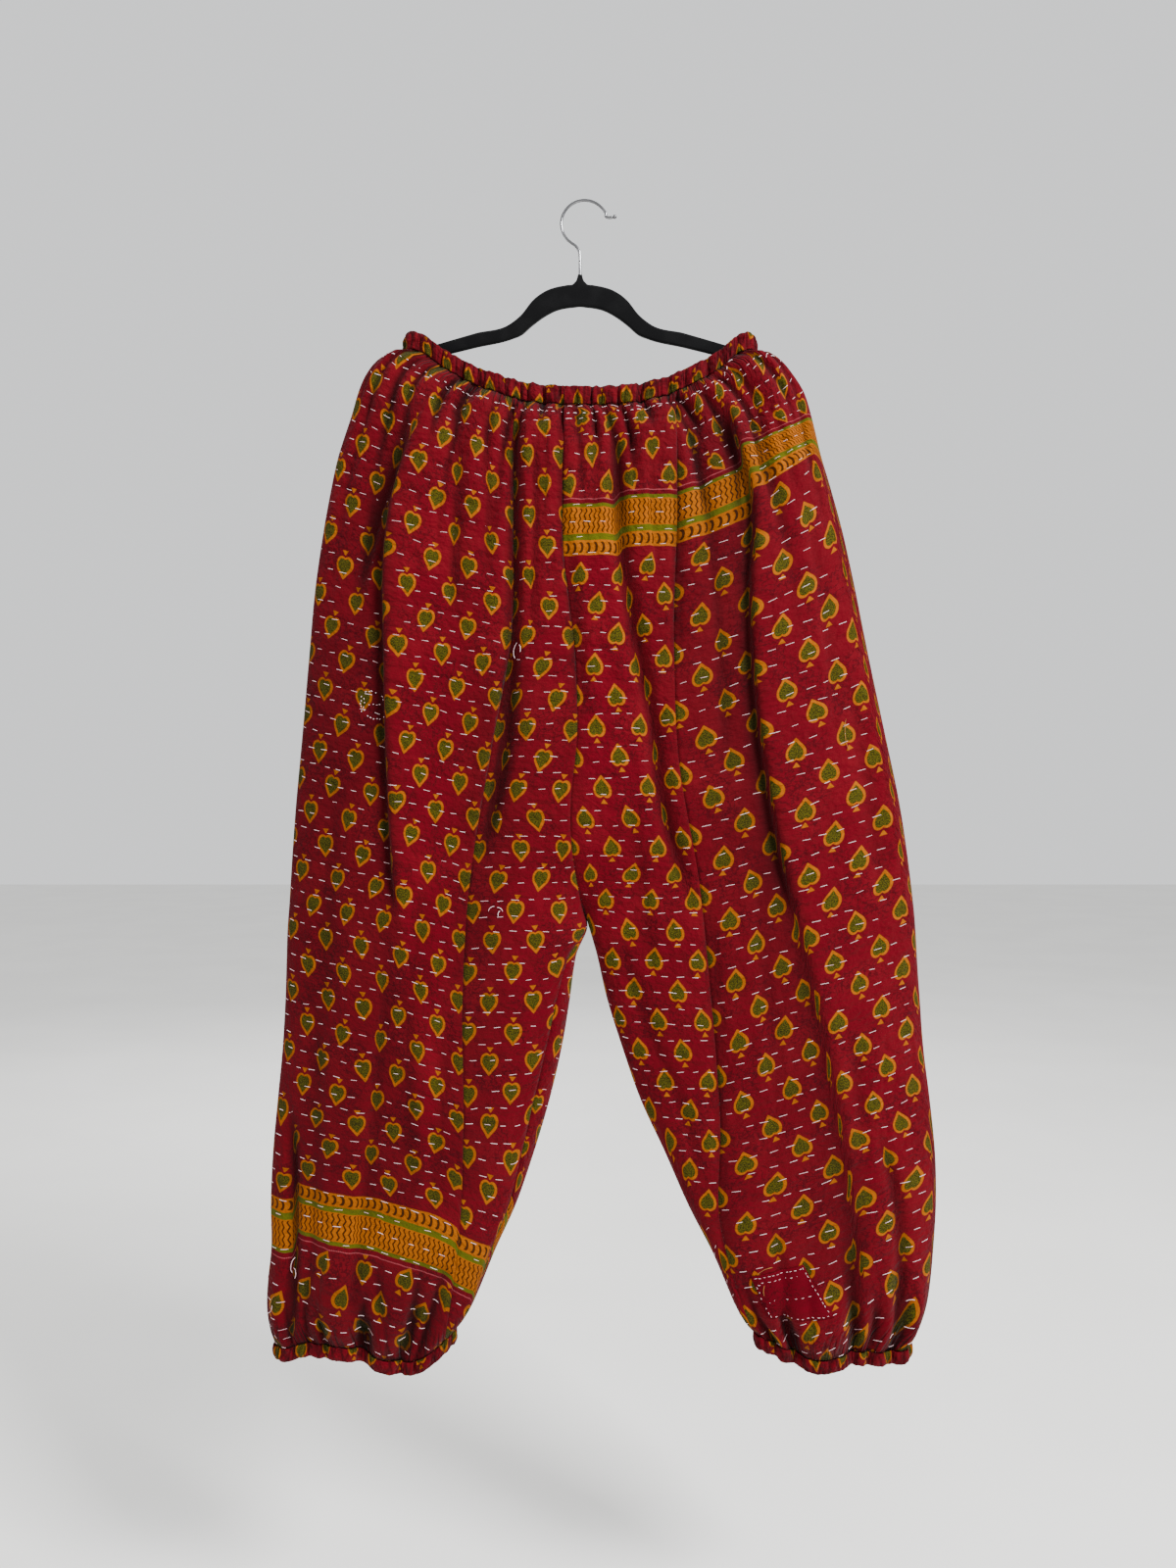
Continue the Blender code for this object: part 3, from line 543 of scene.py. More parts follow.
def row_levels():
    """Levels at equal steps down the garment."""
    fine = np.linspace(0.0, LAST, 2000)
    height = np.array([(level_value("out_z", v) + level_value("in_z", v)) / 2 for v in fine])
    way = np.linspace(height[0], height[-1], int((height[0] - height[-1]) / ROW_STEP))
    levels = np.interp(-way, -height, fine)
    levels[np.argmin(np.abs(levels - CROTCH))] = CROTCH
    return levels


def print_steps(values, front, size=lambda steps: steps):
    """Running total along a row, leaving out the jump from one face to the other."""
    steps = np.diff(values)
    steps[front[:-1] != front[1:]] = 0.0
    return running(size(steps))


def hollows(moves):
    """How deep each point lies below the cloth beside it, from 0 to 1."""
    padded = np.pad(moves, ((0, 0), (HOLLOW_COLUMNS, HOLLOW_COLUMNS)), mode="reflect")
    window = np.hanning(2 * HOLLOW_COLUMNS + 3)[1:-1]
    around = np.array([np.convolve(row, window / window.sum(), mode="valid") for row in padded])
    return np.clip((around - moves) / HOLLOW_DEPTH, 0.0, 1.0)


def way_down(points):
    """Distance down the cloth: the height, and what the cloth runs in and out near both ends."""
    step = np.diff(points, axis=0)
    total = running(np.hypot(step[..., 1], step[..., 2]) - np.abs(step[..., 2]))
    return total - total[len(points) // 2] - points[..., 2]


print("rows:", len(row_levels()))

# %% [markdown]
# Directions are worked out on the whole grid, so that no seam shows as a break in the shading unless we
# sew one in. The seams sink into the cloth, except where the legs part and both halves meet.

# %% Grids of both halves
SEAM_DIP = 1.1              # how deep the sewn seams sit
SEAM_REACH = 2.6
EDGE_DIP = ((0, 1), (12, 1), (14, 0), (15, 0), (16.5, 1))   # level and share: flat where the legs part


def half_grid(side):
    """Points, directions and print shifts of one half, with its seam columns."""
    counts = list(PANEL_COLUMNS[side].values())
    levels = row_levels()
    rows = {name: [] for name in ("points", "take", "slip", "move", "tone", "drawn", "q", "edges")}
    for level in levels:
        part = section(side, level)
        start = inseam(part)
        edges = [start, panel_seam(part, "front"), panel_seam(part, "back"), 2.0 + start]
        q = np.concatenate([np.linspace(a, b, n, endpoint=False)
                            for a, b, n in zip(edges, edges[1:], counts)] + [[edges[-1]]])
        point, take, slip, move = cloth_row(part, q)
        x, z, front = point[:, 0], point[:, 2], wrapped(part, q) <= 1.0
        # painted shade and light of the bands beside the large folds
        tone = np.where(front, band_shade(x, z, "front"), band_shade(x, z, "back"))
        drawn = np.full(len(q), 1 - blend(0.0, 2.6, level) + blend(23.9, LAST, level))
        for row, value in zip(rows.values(), (point, print_steps(take, front, np.abs),
                                              print_steps(slip, front), move, tone, drawn, q, edges)):
            row.append(value)
    grid = {name: np.array(value) for name, value in rows.items()}
    points, closed = grid["points"], levels >= CROTCH
    across = np.gradient(points, axis=1)
    across[closed, 0] = across[closed, -1] = (points[closed, 1] - points[closed, -2]) / 2
    grid["normals"] = unit(np.cross(np.gradient(points, axis=0), across) * TURN[side])
    # painted shade: darker in the hollows of folds and gathers, plus the bands' painted shade and light
    grid["hollow"] = hollows(grid["move"]) * straight(HOLLOW_SHARE, levels)[:, None] + grid["tone"]
    grid.update(z=points[..., 2], levels=levels, down=way_down(points), seams=running(np.array(counts)))
    return grid


def sew_seams(grid):
    """Sink the cloth a little at each seam."""
    length = running(np.linalg.norm(np.diff(grid["points"], axis=1), axis=2), 1)
    sink = np.zeros(length.shape)
    at_edge = straight(EDGE_DIP, grid["levels"])[:, None]
    for column in grid["seams"]:
        share = at_edge if column in grid["seams"][[0, -1]] else 1.0
        off = np.abs(length - length[:, column:column + 1])
        sink = np.maximum(sink, share * np.exp(-(off / SEAM_REACH) ** 2))
    grid["length"] = length
    grid["points"] = grid["points"] - grid["normals"] * (sink * SEAM_DIP)[..., None]


GRIDS = {side: half_grid(side) for side in ("left", "right")}
for grid in GRIDS.values():
    sew_seams(grid)
print("grid rows and columns:", {side: grid["points"].shape[:2] for side, grid in GRIDS.items()})

# %% [markdown]
# ## Where the print lies on the cloth
# The print and the stitch rows belong to the flat cloth, so they need a flat map: u runs across and v
# down, in metres. On an outer panel the rows of print rise towards the side, because the panel hangs
# from a waist that rises there. The left half was cut with the cloth the other way up, so its v runs
# backwards: the leaves point down and the border comes at the ankle.

# %% Flat cloth coordinates
ROW_RISE = {                # z, how far a row rises towards the side in mm, and the power of its curve
    "left": ((-1095, 42, 0.55), (-960, 54, 0.5), (-850, 42, 0.8), (-600, 42, 1.0),
             (-350, 48, 1.1), (-150, 55, 1.3)),
    "right": ((-1095, 60, 1.0), (-900, 65, 1.0), (-650, 60, 1.0), (-420, 66, 1.15),
              (-250, 82, 1.32), (-150, 78, 1.35)),
}
PRINT_TURN = 1311.0         # the left half's v is this less the distance down
PRINT_SHIFT = {             # u and v offset of each panel's print, mm
    ("left", "inner_front"): (17, 0), ("left", "outer"): (5, 0), ("left", "inner_back"): (31, -9),
    ("right", "inner_front"): (9, -3), ("right", "outer"): (0, 0), ("right", "inner_back"): (26, 8),
}
FULLNESS = ((-260, 1.0), (-200, 1.15), (-150, 1.4))     # z and how far an inner panel is drawn up
INNER_FALL = ((-1095, 0.6), (-980, 0.5), (-860, 0.0))   # z and slope of the left inner front's rows
OUTER_WIDTH = {             # z and flat width of an outer panel, mm
    "left": ((-1095, 415), (-800, 420), (-500, 450), (-150, 440)),
    "right": ((-1095, 430), (-800, 462), (-500, 462), (-150, 450)),
}


def panel_slice(side, panel):
    """The columns of a panel in its half's grid."""
    index = list(PANEL_COLUMNS[side]).index(panel)
    first, last = GRIDS[side]["seams"][index:index + 2]
    return slice(first, last + 1)


def cloth_map(side, panel):
    """u and v of each point of a panel, in metres."""
    grid = GRIDS[side]
    z, down, q, length, take, slip = (grid[name][:, panel_slice(side, panel)]
                                      for name in ("z", "down", "q", "length", "take", "slip"))
    seam = [-1 if panel == "inner_front" else 0]
    v = down + (slip - slip[:, seam])
    if panel == "outer":
        front, back = grid["edges"][:, [1]], grid["edges"][:, [2]]
        reach = np.where(q < 1.0, (q - front) / (1.0 - front), (back - q) / (back - 1.0))
        heights, rises, powers = zip(*ROW_RISE[side])
        v = v + np.interp(z, heights, rises) * np.clip(reach, 0, 1) ** np.interp(z, heights, powers)
        hidden = take - take[:, [0]]
        width = straight(OUTER_WIDTH[side], z[:, [0]])
        u = (q - front) / (back - front) * (width - hidden[:, [-1]]) + hidden
    else:
        u = (length - length[:, seam]) * straight(FULLNESS, z[:, seam]) + take - take[:, seam]
        if (side, panel) == ("left", "inner_front"):
            v = v - straight(INNER_FALL, z) * np.abs(u)
    if side == "left":
        u, v = -u, PRINT_TURN - v
    return (np.stack([u, v], axis=-1) + PRINT_SHIFT[side, panel]) * MM


print("left outer panel, flat, m:", np.ptp(cloth_map("left", "outer"), axis=(0, 1)).round(3))

# %% [markdown]
# ## From points to a mesh
# Every piece here is worked out as rows of points. These helpers turn them into a mesh object with its
# faces, its flat map and its material, and keep the object itself at the origin.


# %% Mesh helpers
def quads(a, b, c, d, flip=False):
    """Four-sided faces from four arrays of corners."""
    faces = np.stack([a, b, c, d], axis=-1).reshape(-1, 4)
    return faces[:, ::-1] if flip else faces


def grid_faces(index, flip):
    """Faces of a grid of points, outwards."""
    return quads(index[:-1, :-1], index[1:, :-1], index[1:, 1:], index[:-1, 1:], flip)


def new_object(name, data):
    """An object in the scene, at the origin."""
    thing = bpy.data.objects.new(name, data)
    bpy.context.collection.objects.link(thing)
    return thing


def mesh_object(name, points, faces, finish=None, uv=None):
    """A mesh object from points in millimetres, with one u, v for each point."""
    mesh = bpy.data.meshes.new(name)
    mesh.from_pydata((np.reshape(points, (-1, 3)) * MM).tolist(), [], [list(face) for face in faces])
    if uv is not None:
        layer = mesh.uv_layers.new(name="UVMap")
        corners = np.empty(len(mesh.loops), dtype=np.int32)
        mesh.loops.foreach_get("vertex_index", corners)
        layer.data.foreach_set("uv", np.reshape(uv, (-1, 2)).astype(np.float32)[corners].ravel())
    if finish:
        mesh.materials.append(finish)
    mesh.shade_smooth()
    return new_object(name, mesh)


def mark(piece, name, values):
    """Store a number or a direction on each point of a piece, for its material or its tree."""
    kind, key = ("FLOAT", "value") if values.ndim == 1 else ("FLOAT_VECTOR", "vector")
    layer = piece.data.attributes.new(name, kind, "POINT")
    layer.data.foreach_set(key, values.astype(np.float32).ravel())


# %% [markdown]
# ## Making cloth from a grid
# A sheet becomes a closed shell: the outer points, the same points moved in by the cloth's thickness,
# and a rim. Only the outer side has to be fine, but using one grid twice keeps the rim simple.

# %% A shell of cloth
CLOTH = 1.2                 # mm, two layers of worn cotton


def cloth_shell(name, points, normals, uv, finish, flip=False, thickness=CLOTH, **marks):
    """A closed shell of cloth; marks are values stored on its points."""
    index = np.arange(points[..., 0].size).reshape(points.shape[:2])
    loop = np.concatenate([index[0, :-1], index[:-1, -1], index[-1, :0:-1], index[:0:-1, 0]])
    after = np.roll(loop, -1)
    rim = quads(loop, after, after + index.size, loop + index.size, flip)
    faces = np.concatenate([grid_faces(index, flip), grid_faces(index + index.size, not flip), rim])
    shell = mesh_object(name, [points, points - normals * thickness], faces, finish, [uv, uv])
    for mark_name, values in marks.items():
        mark(shell, mark_name, np.tile(values.ravel(), 2))
    return shell


# %% [markdown]
# ## Finishes as small machines
# Building a material by hand in the editor is fine once. Here we build them in code, so two helpers
# keep the node trees readable. The first is a `Wire`, the output of a node. Writing a sum of wires and
# numbers adds the math nodes that work it out.


# %% Wires
def sum_of_two(operation, turned=False):
    """A method that works out two values by one math node."""
    def method(wire, other):
        return wire.nodes.math(operation, *((other, wire) if turned else (wire, other)))
    return method


class Wire:
    """An output of a node. Sums of wires and numbers add math nodes."""

    __add__, __radd__ = sum_of_two("ADD"), sum_of_two("ADD", turned=True)
    __sub__, __rsub__ = sum_of_two("SUBTRACT"), sum_of_two("SUBTRACT", turned=True)
    __mul__, __truediv__ = sum_of_two("MULTIPLY"), sum_of_two("DIVIDE")
    __mod__ = sum_of_two("FLOORED_MODULO")
    __gt__, __lt__ = sum_of_two("GREATER_THAN"), sum_of_two("LESS_THAN")

    def __init__(self, nodes, socket):
        self.nodes, self.socket = nodes, socket

    def __getitem__(self, key):
        """Another output of the same node."""
        return Wire(self.nodes, self.socket.node.outputs[key])

    def __abs__(self):
        return self.nodes.math("ABSOLUTE", self)


# %% [markdown]
# The second helper, `Nodes`, adds one node at a time, links what it is given, and gives back a wire.


# %% Nodes
class Nodes:
    """Adds nodes to a tree and links them."""

    def __init__(self, tree):
        self.tree = tree

    def put(self, socket, value):
        """Link a wire to a socket, or set the socket's own value."""
        if isinstance(value, Wire):
            self.tree.links.new(value.socket, socket)
        elif value is not None:
            socket.default_value = value

    def add(self, kind, inputs=(), **settings):
        """A new node; gives back its first output."""
        node = self.tree.nodes.new(kind)
        for name, value in settings.items():
            setattr(node, name, value)
        for key, value in inputs.items() if isinstance(inputs, dict) else enumerate(inputs):
            self.put(node.inputs[key], value)
        return Wire(self, node.outputs[0])

    def math(self, operation, *values, clamp=False):
        return self.add("ShaderNodeMath", values, operation=operation, use_clamp=clamp)

    def vector(self, operation, *values, scale=None):
        made = self.add("ShaderNodeVectorMath", values, operation=operation)
        if scale is not None:
            self.put(made.socket.node.inputs["Scale"], scale)
        return made["Value" if operation == "LENGTH" else "Vector"]

    def split(self, vector):
        return self.add("ShaderNodeSeparateXYZ", [vector])

    def join(self, x, y, z=0.0):
        return self.add("ShaderNodeCombineXYZ", [x, y, z])

    def step(self, value, low, high, top=1.0):
        """0 below low, top above high, smooth between; low may be above high."""
        inputs = {"Value": value, "From Min": low, "From Max": high, "To Max": top}
        return self.add("ShaderNodeMapRange", inputs, interpolation_type="SMOOTHSTEP")

    def mix(self, factor, a, b, blend_type="MIX"):
        inputs = {0: factor, 6: a, 7: b}
        return self.add("ShaderNodeMix", inputs, data_type="RGBA", blend_type=blend_type)[2]

    def noise(self, vector, scale=1.0, detail=2.0, roughness=0.5):
        inputs = {"Vector": vector, "Scale": scale, "Detail": detail, "Roughness": roughness}
        return self.add("ShaderNodeTexNoise", inputs)

    def group(self, tree, **inputs):
        return self.add("ShaderNodeGroup", inputs, node_tree=tree)

    def give(self, **results):
        """Name a group's results and link them to its outputs."""
        kinds = {"VALUE": "Float", "RGBA": "Color", "GEOMETRY": "Geometry"}
        for name, wire in results.items():
            self.tree.interface.new_socket(name, in_out="OUTPUT",
                                           socket_type="NodeSocket" + kinds[wire.socket.type])
        end = self.tree.nodes.new("NodeGroupOutput")
        for name, wire in results.items():
            self.put(end.inputs[name], wire)
        print(self.tree.name, "has", len(self.tree.nodes), "nodes")
        return self.tree


# %% [markdown]
# A group is a machine that several materials share. Its inputs have names, so each material can place
# it with values of its own. Colours are written as we see them on a screen and turned into light here.


# %% Groups and colours
def new_group(name, inputs, kind="ShaderNodeTree"):
    """A node group and its inputs, each given as a first value or as the name of its kind."""
    tree = bpy.data.node_groups.new(name, kind)
    for label, value in inputs.items():
        kinds = {float: "Float", int: "Int", tuple: "Color"}
        word = value if isinstance(value, str) else kinds[type(value)]
        socket = tree.interface.new_socket(label, in_out="INPUT", socket_type="NodeSocket" + word)
        if word != value:
            socket.default_value = value
    nodes = Nodes(tree)
    return nodes, nodes.add("NodeGroupInput")


def srgb(*color):
    """A colour as seen on screen, 0 to 255, as linear light."""
    shares = [value / 255 for value in color]
    return (*(s / 12.92 if s <= 0.04045 else ((s + 0.055) / 1.055) ** 2.4 for s in shares), 1.0)


print("crimson as light:", [round(value, 4) for value in srgb(79, 0, 11)])

# %% [markdown]
# ## The leaf print
# The cloth is printed all over with small pointed leaves: an ochre outline, an olive heart with a fine
# dotted ground, and a triangular foot. They stand in rows, each row shifted by half a step. A group
# works this out from u and v: it finds the cell, then reads the leaf's outline as a distance from its
# middle for each direction. A Float Curve holds that outline as a few given points. Beyond the
# border most leaves stand on their heads.

# %% Leaf print group
BORDER_TOP = 283.0          # mm down the cloth, where the border starts
BORDER_HALF = 24.3          # half the border's depth
LEAF_ACROSS = 42.0          # mm from leaf to leaf in a row
LEAF_DOWN = 28.5            # mm from row to row
LEAF_REACH = 13.0           # mm, the longest reach of the outline
LEAF_START = 5.0            # mm that the rows are shifted, so that whole rows flank the border
LEAF_CLEAR = 12.0           # mm from the border to the middle of the nearest leaves
LEAF_STRAY = (3.0, 2.0)     # mm that a leaf strays across and down
LEAF_OUTLINE = (            # direction from the tip, 0 to 1, and share of the longest reach
    (0.0, 1.0), (0.05, 0.86), (0.12, 0.72), (0.22, 0.64), (0.36, 0.62), (0.5, 0.64), (0.64, 0.69),
    (0.78, 0.73), (0.88, 0.70), (0.95, 0.61), (1.0, 0.54),
)


def outline_curve(n, direction):
    """The outline's reach for each direction."""
    curve = n.add("ShaderNodeFloatCurve", {"Value": direction})
    mapping = curve.socket.node.mapping
    points = mapping.curves[0].points
    for _ in LEAF_OUTLINE[2:]:
        points.new(0.5, 0.5)
    for point, place in zip(points, LEAF_OUTLINE):
        point.location = place
    mapping.update()
    return curve * LEAF_REACH


def leaf_group():
    n, given = new_group("leaf_print", {"Place": "Vector"})
    u, v, _ = n.split(n.vector("SCALE", given["Place"], scale=1000.0))
    v = v + LEAF_START
    row = n.math("FLOOR", v / LEAF_DOWN)
    along_row = u / LEAF_ACROSS + (row % 2.0) * 0.5
    cell = n.join(row, n.math("FLOOR", along_row))
    chance = n.add("ShaderNodeTexWhiteNoise", {"Vector": cell}, noise_dimensions="2D")["Color"]
    stray_x, stray_y, stray_turn = n.split(n.vector("SUBTRACT", chance, (0.5, 0.5, 0.5)))
    middle = (row + 0.5) * LEAF_DOWN
    from_border = middle - (LEAF_START + BORDER_TOP + BORDER_HALF)
    clear = abs(from_border) > BORDER_HALF + LEAF_CLEAR
    x = (n.math("FRACT", along_row) - 0.5) * LEAF_ACROSS + stray_x * LEAF_STRAY[0]
    y = middle - v + stray_y * LEAF_STRAY[1]
    beyond = (from_border < 0.0) * (stray_x > -0.02)
    angle = stray_turn * (0.35 + beyond * 0.7) + beyond * math.pi
    x, y, _ = n.split(n.add("ShaderNodeVectorRotate", {"Vector": n.join(x, y), "Angle": angle},
                            rotation_type="Z_AXIS"))
    wide, up = abs(x), y - 0.8
    reach = outline_curve(n, n.math("ARCTAN2", wide, up) / math.pi)
    outline = n.step(reach - n.vector("LENGTH", n.join(wide, up)), -0.25, 0.25)
    heart = n.step(reach * 0.74 - n.vector("LENGTH", n.join(x + 0.35, up + 0.2)), -0.2, 0.2)
    below = -9.0 - y
    foot = n.step(below * 0.62 - (wide - 0.5), -0.2, 0.2) * n.step(below, -0.4, 0.1)
    foot = foot * clear * n.step(below, 4.4, 4.0)
    return n.give(Outline=outline * clear, Heart=heart * clear, Foot=foot)


LEAF_PRINT = leaf_group()

# %% [markdown]
# ## The border
# At one end of the cloth runs a traditional border: an olive line, a broad ochre stripe with upright
# zigzag lines, an olive stripe, and a narrow ochre stripe with a row of small hooks. All of it follows
# from v, the distance down the cloth, and a repeat in u.

# %% Border group
BORDER_EDGES = (3.4, 28.6, 34.6, 48.6)  # ends of the line, broad stripe, olive stripe, hook row
ZIGZAG_STEP, ZIGZAG_LENGTH, HOOK_STEP, DOT_STEP = 4.8, 7.4, 6.8, 2.6    # mm


def border_group():
    n, given = new_group("border_print", {"Place": "Vector"})
    u, v, _ = n.split(n.vector("SCALE", given["Place"], scale=1000.0))
    wobble = n.noise(n.join(u * 0.11, 0.0)) - 0.5
    deep = v - BORDER_TOP + wobble * 1.6
    line_end, broad_end, olive_end, hook_end = BORDER_EDGES

    def stripe(start, end):
        return n.step(deep, start - 0.3, start + 0.3) * n.step(deep, end + 0.3, end - 0.3)

    lean = n.math("PINGPONG", deep, ZIGZAG_LENGTH / 2) * 0.55
    across = n.math("FRACT", (u + lean) / ZIGZAG_STEP)
    zigzag = n.step(abs(across - 0.5), 0.19, 0.11) * stripe(line_end + 1.0, broad_end - 1.0)
    x = (n.math("FRACT", u / HOOK_STEP) - 0.5) * HOOK_STEP
    y = (deep - (olive_end + hook_end) / 2) * 0.56
    body = n.step(n.vector("LENGTH", n.join(x, y)), 3.05, 2.65)
    bite = n.step(n.vector("LENGTH", n.join(x + 1.7, y)), 2.0, 2.4)
    hooks = body * bite * stripe(olive_end + 0.6, hook_end - 0.6)
    dot_x = n.math("PINGPONG", u, DOT_STEP / 2) - DOT_STEP / 4
    dots = n.step(n.vector("LENGTH", n.join(dot_x, deep + 4.4)), 0.75, 0.35)
    olive = n.math("MAXIMUM", stripe(0.0, line_end), stripe(broad_end, olive_end))
    return n.give(Ochre=stripe(line_end, hook_end), Olive=olive,
                  Brown=n.math("MAXIMUM", zigzag, hooks), Dots=dots)


BORDER_PRINT = border_group()

# %% [markdown]
# ## Weave, worn ground and quilting
# Three more groups give what every part of this cloth shares. The ground is a crimson that has faded in
# patches and carries a faint dark squiggle. The weave is a fine crossing of threads. The quilting pulls
# the cloth down along each stitch row and ruffles it between the stitches.

# %% Ground, weave and quilting groups
STITCH_ROW = 15.0           # mm between rows of running stitch


def ground_group():
    n, given = new_group("worn_ground", {
        "Place": "Vector", "Cloth": (0.3, 0.01, 0.02, 1), "Faded": (0.4, 0.03, 0.03, 1),
        "Dark": (0.15, 0.01, 0.01, 1)})
    place, dark = given["Place"], given["Dark"]
    color = n.mix(n.step(n.noise(place, 14.0, 3.0), 0.42, 0.72, 0.65), given["Cloth"], given["Faded"])
    squiggle = n.step(abs(n.noise(place, 190.0) - 0.5), 0.05, 0.02)
    where = n.step(n.noise(place, 24.0), 0.44, 0.58, 0.6)
    color = n.mix(squiggle * where, color, dark)
    slub = n.noise(n.vector("MULTIPLY", place, (60.0, 900.0, 0.0)))
    return n.give(Color=n.mix(n.step(slub, 0.35, 0.75, 0.22), color, dark))


def weave_group():
    n, given = new_group("plain_weave", {"Place": "Vector", "Threads": 2200.0})
    u, v, _ = n.split(n.vector("SCALE", given["Place"], scale=given["Threads"]))
    return n.give(Height=n.math("SINE", u * math.pi) * n.math("SINE", v * math.pi))


def quilting_group():
    n, given = new_group("quilting", {"Place": "Vector", "Row": STITCH_ROW, "Drawn": 0.0})
    u, v, _ = n.split(n.vector("SCALE", given["Place"], scale=1000.0))
    valley = n.step(n.math("PINGPONG", v / given["Row"], 0.5) * given["Row"], 0.0, 5.0)
    ruffle = n.noise(n.join(u * 0.2, v * 0.24), detail=2.5)
    broad = n.noise(n.join(u * 0.06, v * 0.07))
    # Pinch lines are creases where the cloth is gathered; besides their bump, the cotton darkens them as
    # painted shade.
    pinch = n.noise(n.join(u * 0.1, v * 0.008), detail=1.5)
    pinch = n.step(abs(pinch - 0.5), 0.08, 0.0) * given["Drawn"]
    return n.give(Height=valley * 0.22 + ruffle + broad * 1.8 - pinch * 1.8, Pinch=pinch)


WORN_GROUND = ground_group()
PLAIN_WEAVE = weave_group()
QUILTING = quilting_group()


# %% [markdown]
# ## The quilted cotton itself
# The material places the groups one after another: ground, leaves, border, then the height of weave and
# quilting through Bump nodes. The leaves stop where the border runs. Two values stored on the cloth's
# points darken it as painted shade: one in the hollows of folds and rucks and along the shade bands, and
# `drawn`, which darkens the pinched crease lines where the cloth is gathered.


# %% Quilted cotton
def new_material(name):
    """A material and the helper that fills its tree."""
    material = bpy.data.materials.new(name)
    material.use_nodes = True
    return material, Nodes(material.node_tree)


def dress(n, bumps=(), **values):
    """Set the shader's sockets, then its bumps: strength, distance in metres and height."""
    shader = n.tree.nodes["Principled BSDF"]
    for name, value in values.items():
        n.put(shader.inputs[name.replace("_", " ")], value)
    normal = None
    for strength, distance, height in bumps:
        normal = n.add("ShaderNodeBump", {"Strength": strength, "Distance": distance, "Height": height,
                                          "Normal": normal})
    n.put(shader.inputs["Normal"], normal)


OCHRE, OLIVE, BROWN = srgb(132, 70, 0), srgb(66, 60, 6), srgb(26, 8, 1)


def quilted_cotton():
    material, n = new_material("quilted_cotton_print")
    place = n.add("ShaderNodeUVMap", uv_map="UVMap")
    hollow, drawn = (n.add("ShaderNodeAttribute", attribute_name=name)["Fac"]
                     for name in ("hollow", "drawn"))
    leaf, border = n.group(LEAF_PRINT, Place=place), n.group(BORDER_PRINT, Place=place)
    quilt = n.group(QUILTING, Place=place, Drawn=drawn)
    olive = n.mix(n.step(n.noise(place, 950.0, 1.0), 0.4, 0.6, 0.9), OLIVE, srgb(24, 22, 2))
    ochre = n.mix(n.step(n.noise(place, 500.0), 0.35, 0.75, 0.5), OCHRE, srgb(112, 52, 0))
    clear = 1.0 - n.math("MAXIMUM", border["Ochre"], border["Olive"])
    color = n.group(WORN_GROUND, Place=place, Cloth=srgb(79, 0, 11), Faded=srgb(90, 5, 16),
                    Dark=srgb(42, 0, 5))["Color"]
    for where, ink in (
            (n.math("MAXIMUM", leaf["Outline"], leaf["Foot"]) * clear, ochre),
            (leaf["Heart"] * clear, olive),
            (border["Ochre"], ochre),
            (border["Olive"], n.mix(0.75, olive, srgb(72, 74, 8))),
            (border["Brown"] * 0.9, BROWN),
            (border["Dots"] * 0.6, srgb(150, 70, 76))):
        color = n.mix(where, color, ink)
    # painted shade: darker in fold and ruck hollows, along the shade bands and in the pinched crease lines
    shade = n.math("MAXIMUM", 1.0 - (hollow * 0.72 + quilt["Pinch"] * 0.45), 0.2)
    weave = n.group(PLAIN_WEAVE, Place=place)["Height"]
    dress(n, ((0.9, 0.0024, quilt["Height"]), (0.25, 0.0002, weave)),
          Base_Color=n.mix(1.0, color, n.join(shade, shade, shade), "MULTIPLY"), Roughness=0.88,
          Specular_IOR_Level=0.06, Sheen_Weight=0.02, Sheen_Roughness=0.5)
    return material


COTTON = quilted_cotton()
print("cotton:", len(COTTON.node_tree.nodes), "nodes")

# %% [markdown]
# ## The panels
# Now each panel is cut from its half's grid and made a shell. For the stitches we also keep the bare
# outer surface with its flat map, for a while. The cut size that we state for each sheet is the width
# and length of the flat piece before it was gathered.

# %% Cut the panels
PANEL_CUT = {               # flat width and length in metres, and the cut's area in square metres
    ("left", "inner_front"): (0.125, 0.93, 0.070), ("left", "outer"): (0.460, 0.98, 0.415),
    ("left", "inner_back"): (0.140, 0.93, 0.083), ("right", "inner_front"): (0.165, 0.93, 0.093),
    ("right", "outer"): (0.480, 0.98, 0.435), ("right", "inner_back"): (0.165, 0.93, 0.091),
}


def shown_cells(points, flat):
    """Cells whose print isn't crowded into a fold, where stitches would bunch up."""
    flat_width, width = (np.linalg.norm(np.diff(values, axis=1), axis=2) for values in (flat, points))
    stretch = flat_width / MM / np.maximum(width, 0.1)
    crowded = stretch > 1.5 * np.median(stretch, axis=1, keepdims=True)
    return ~(crowded[:-1] | crowded[1:]).ravel()


panels, bare = {}, {}
for side, panel in PANEL_CUT:
    columns = panel_slice(side, panel)
    points, normals, hollow, drawn = (GRIDS[side][name][:, columns]
                                      for name in ("points", "normals", "hollow", "drawn"))
    flat = cloth_map(side, panel)
    node = side + "_" + ("outer_panel" if panel == "outer" else panel)
    # the painted shade of the folds and the gathered share are stored on the shell's points for the cotton
    piece = cloth_shell(node + "_cloth", points, normals, flat, COTTON, side == "left",
                        hollow=hollow, drawn=drawn)
    panels[side, panel] = (piece, node)
    faces = grid_faces(np.arange(drawn.size).reshape(drawn.shape), side == "left")
    surface = mesh_object(node + "_face", points, faces[shown_cells(points, flat)], uv=flat)
    bare[node] = (surface, flat)
    size = sum(face.area for face in surface.data.polygons)
    print(node, "faces", len(piece.data.polygons), "surface", round(size, 4), "m2")

# %% [markdown]
# ## Running stitch by Geometry Nodes
# Thousands of stitches lie on the cloth in rows. The trick is to lay them out on the flat map, where a
# row is a straight line, and then to carry every point of every stitch to the cloth with Sample UV
# Surface. The tree lays a grid of points, strays each a little, puts one short thread on each, realizes
# them, and moves each vertex to the cloth's own position plus its height along the cloth's normal.

# %% One stitch
STITCH_LONG, STITCH_WIDE, STITCH_HIGH = 7.4, 0.46, 0.34     # mm


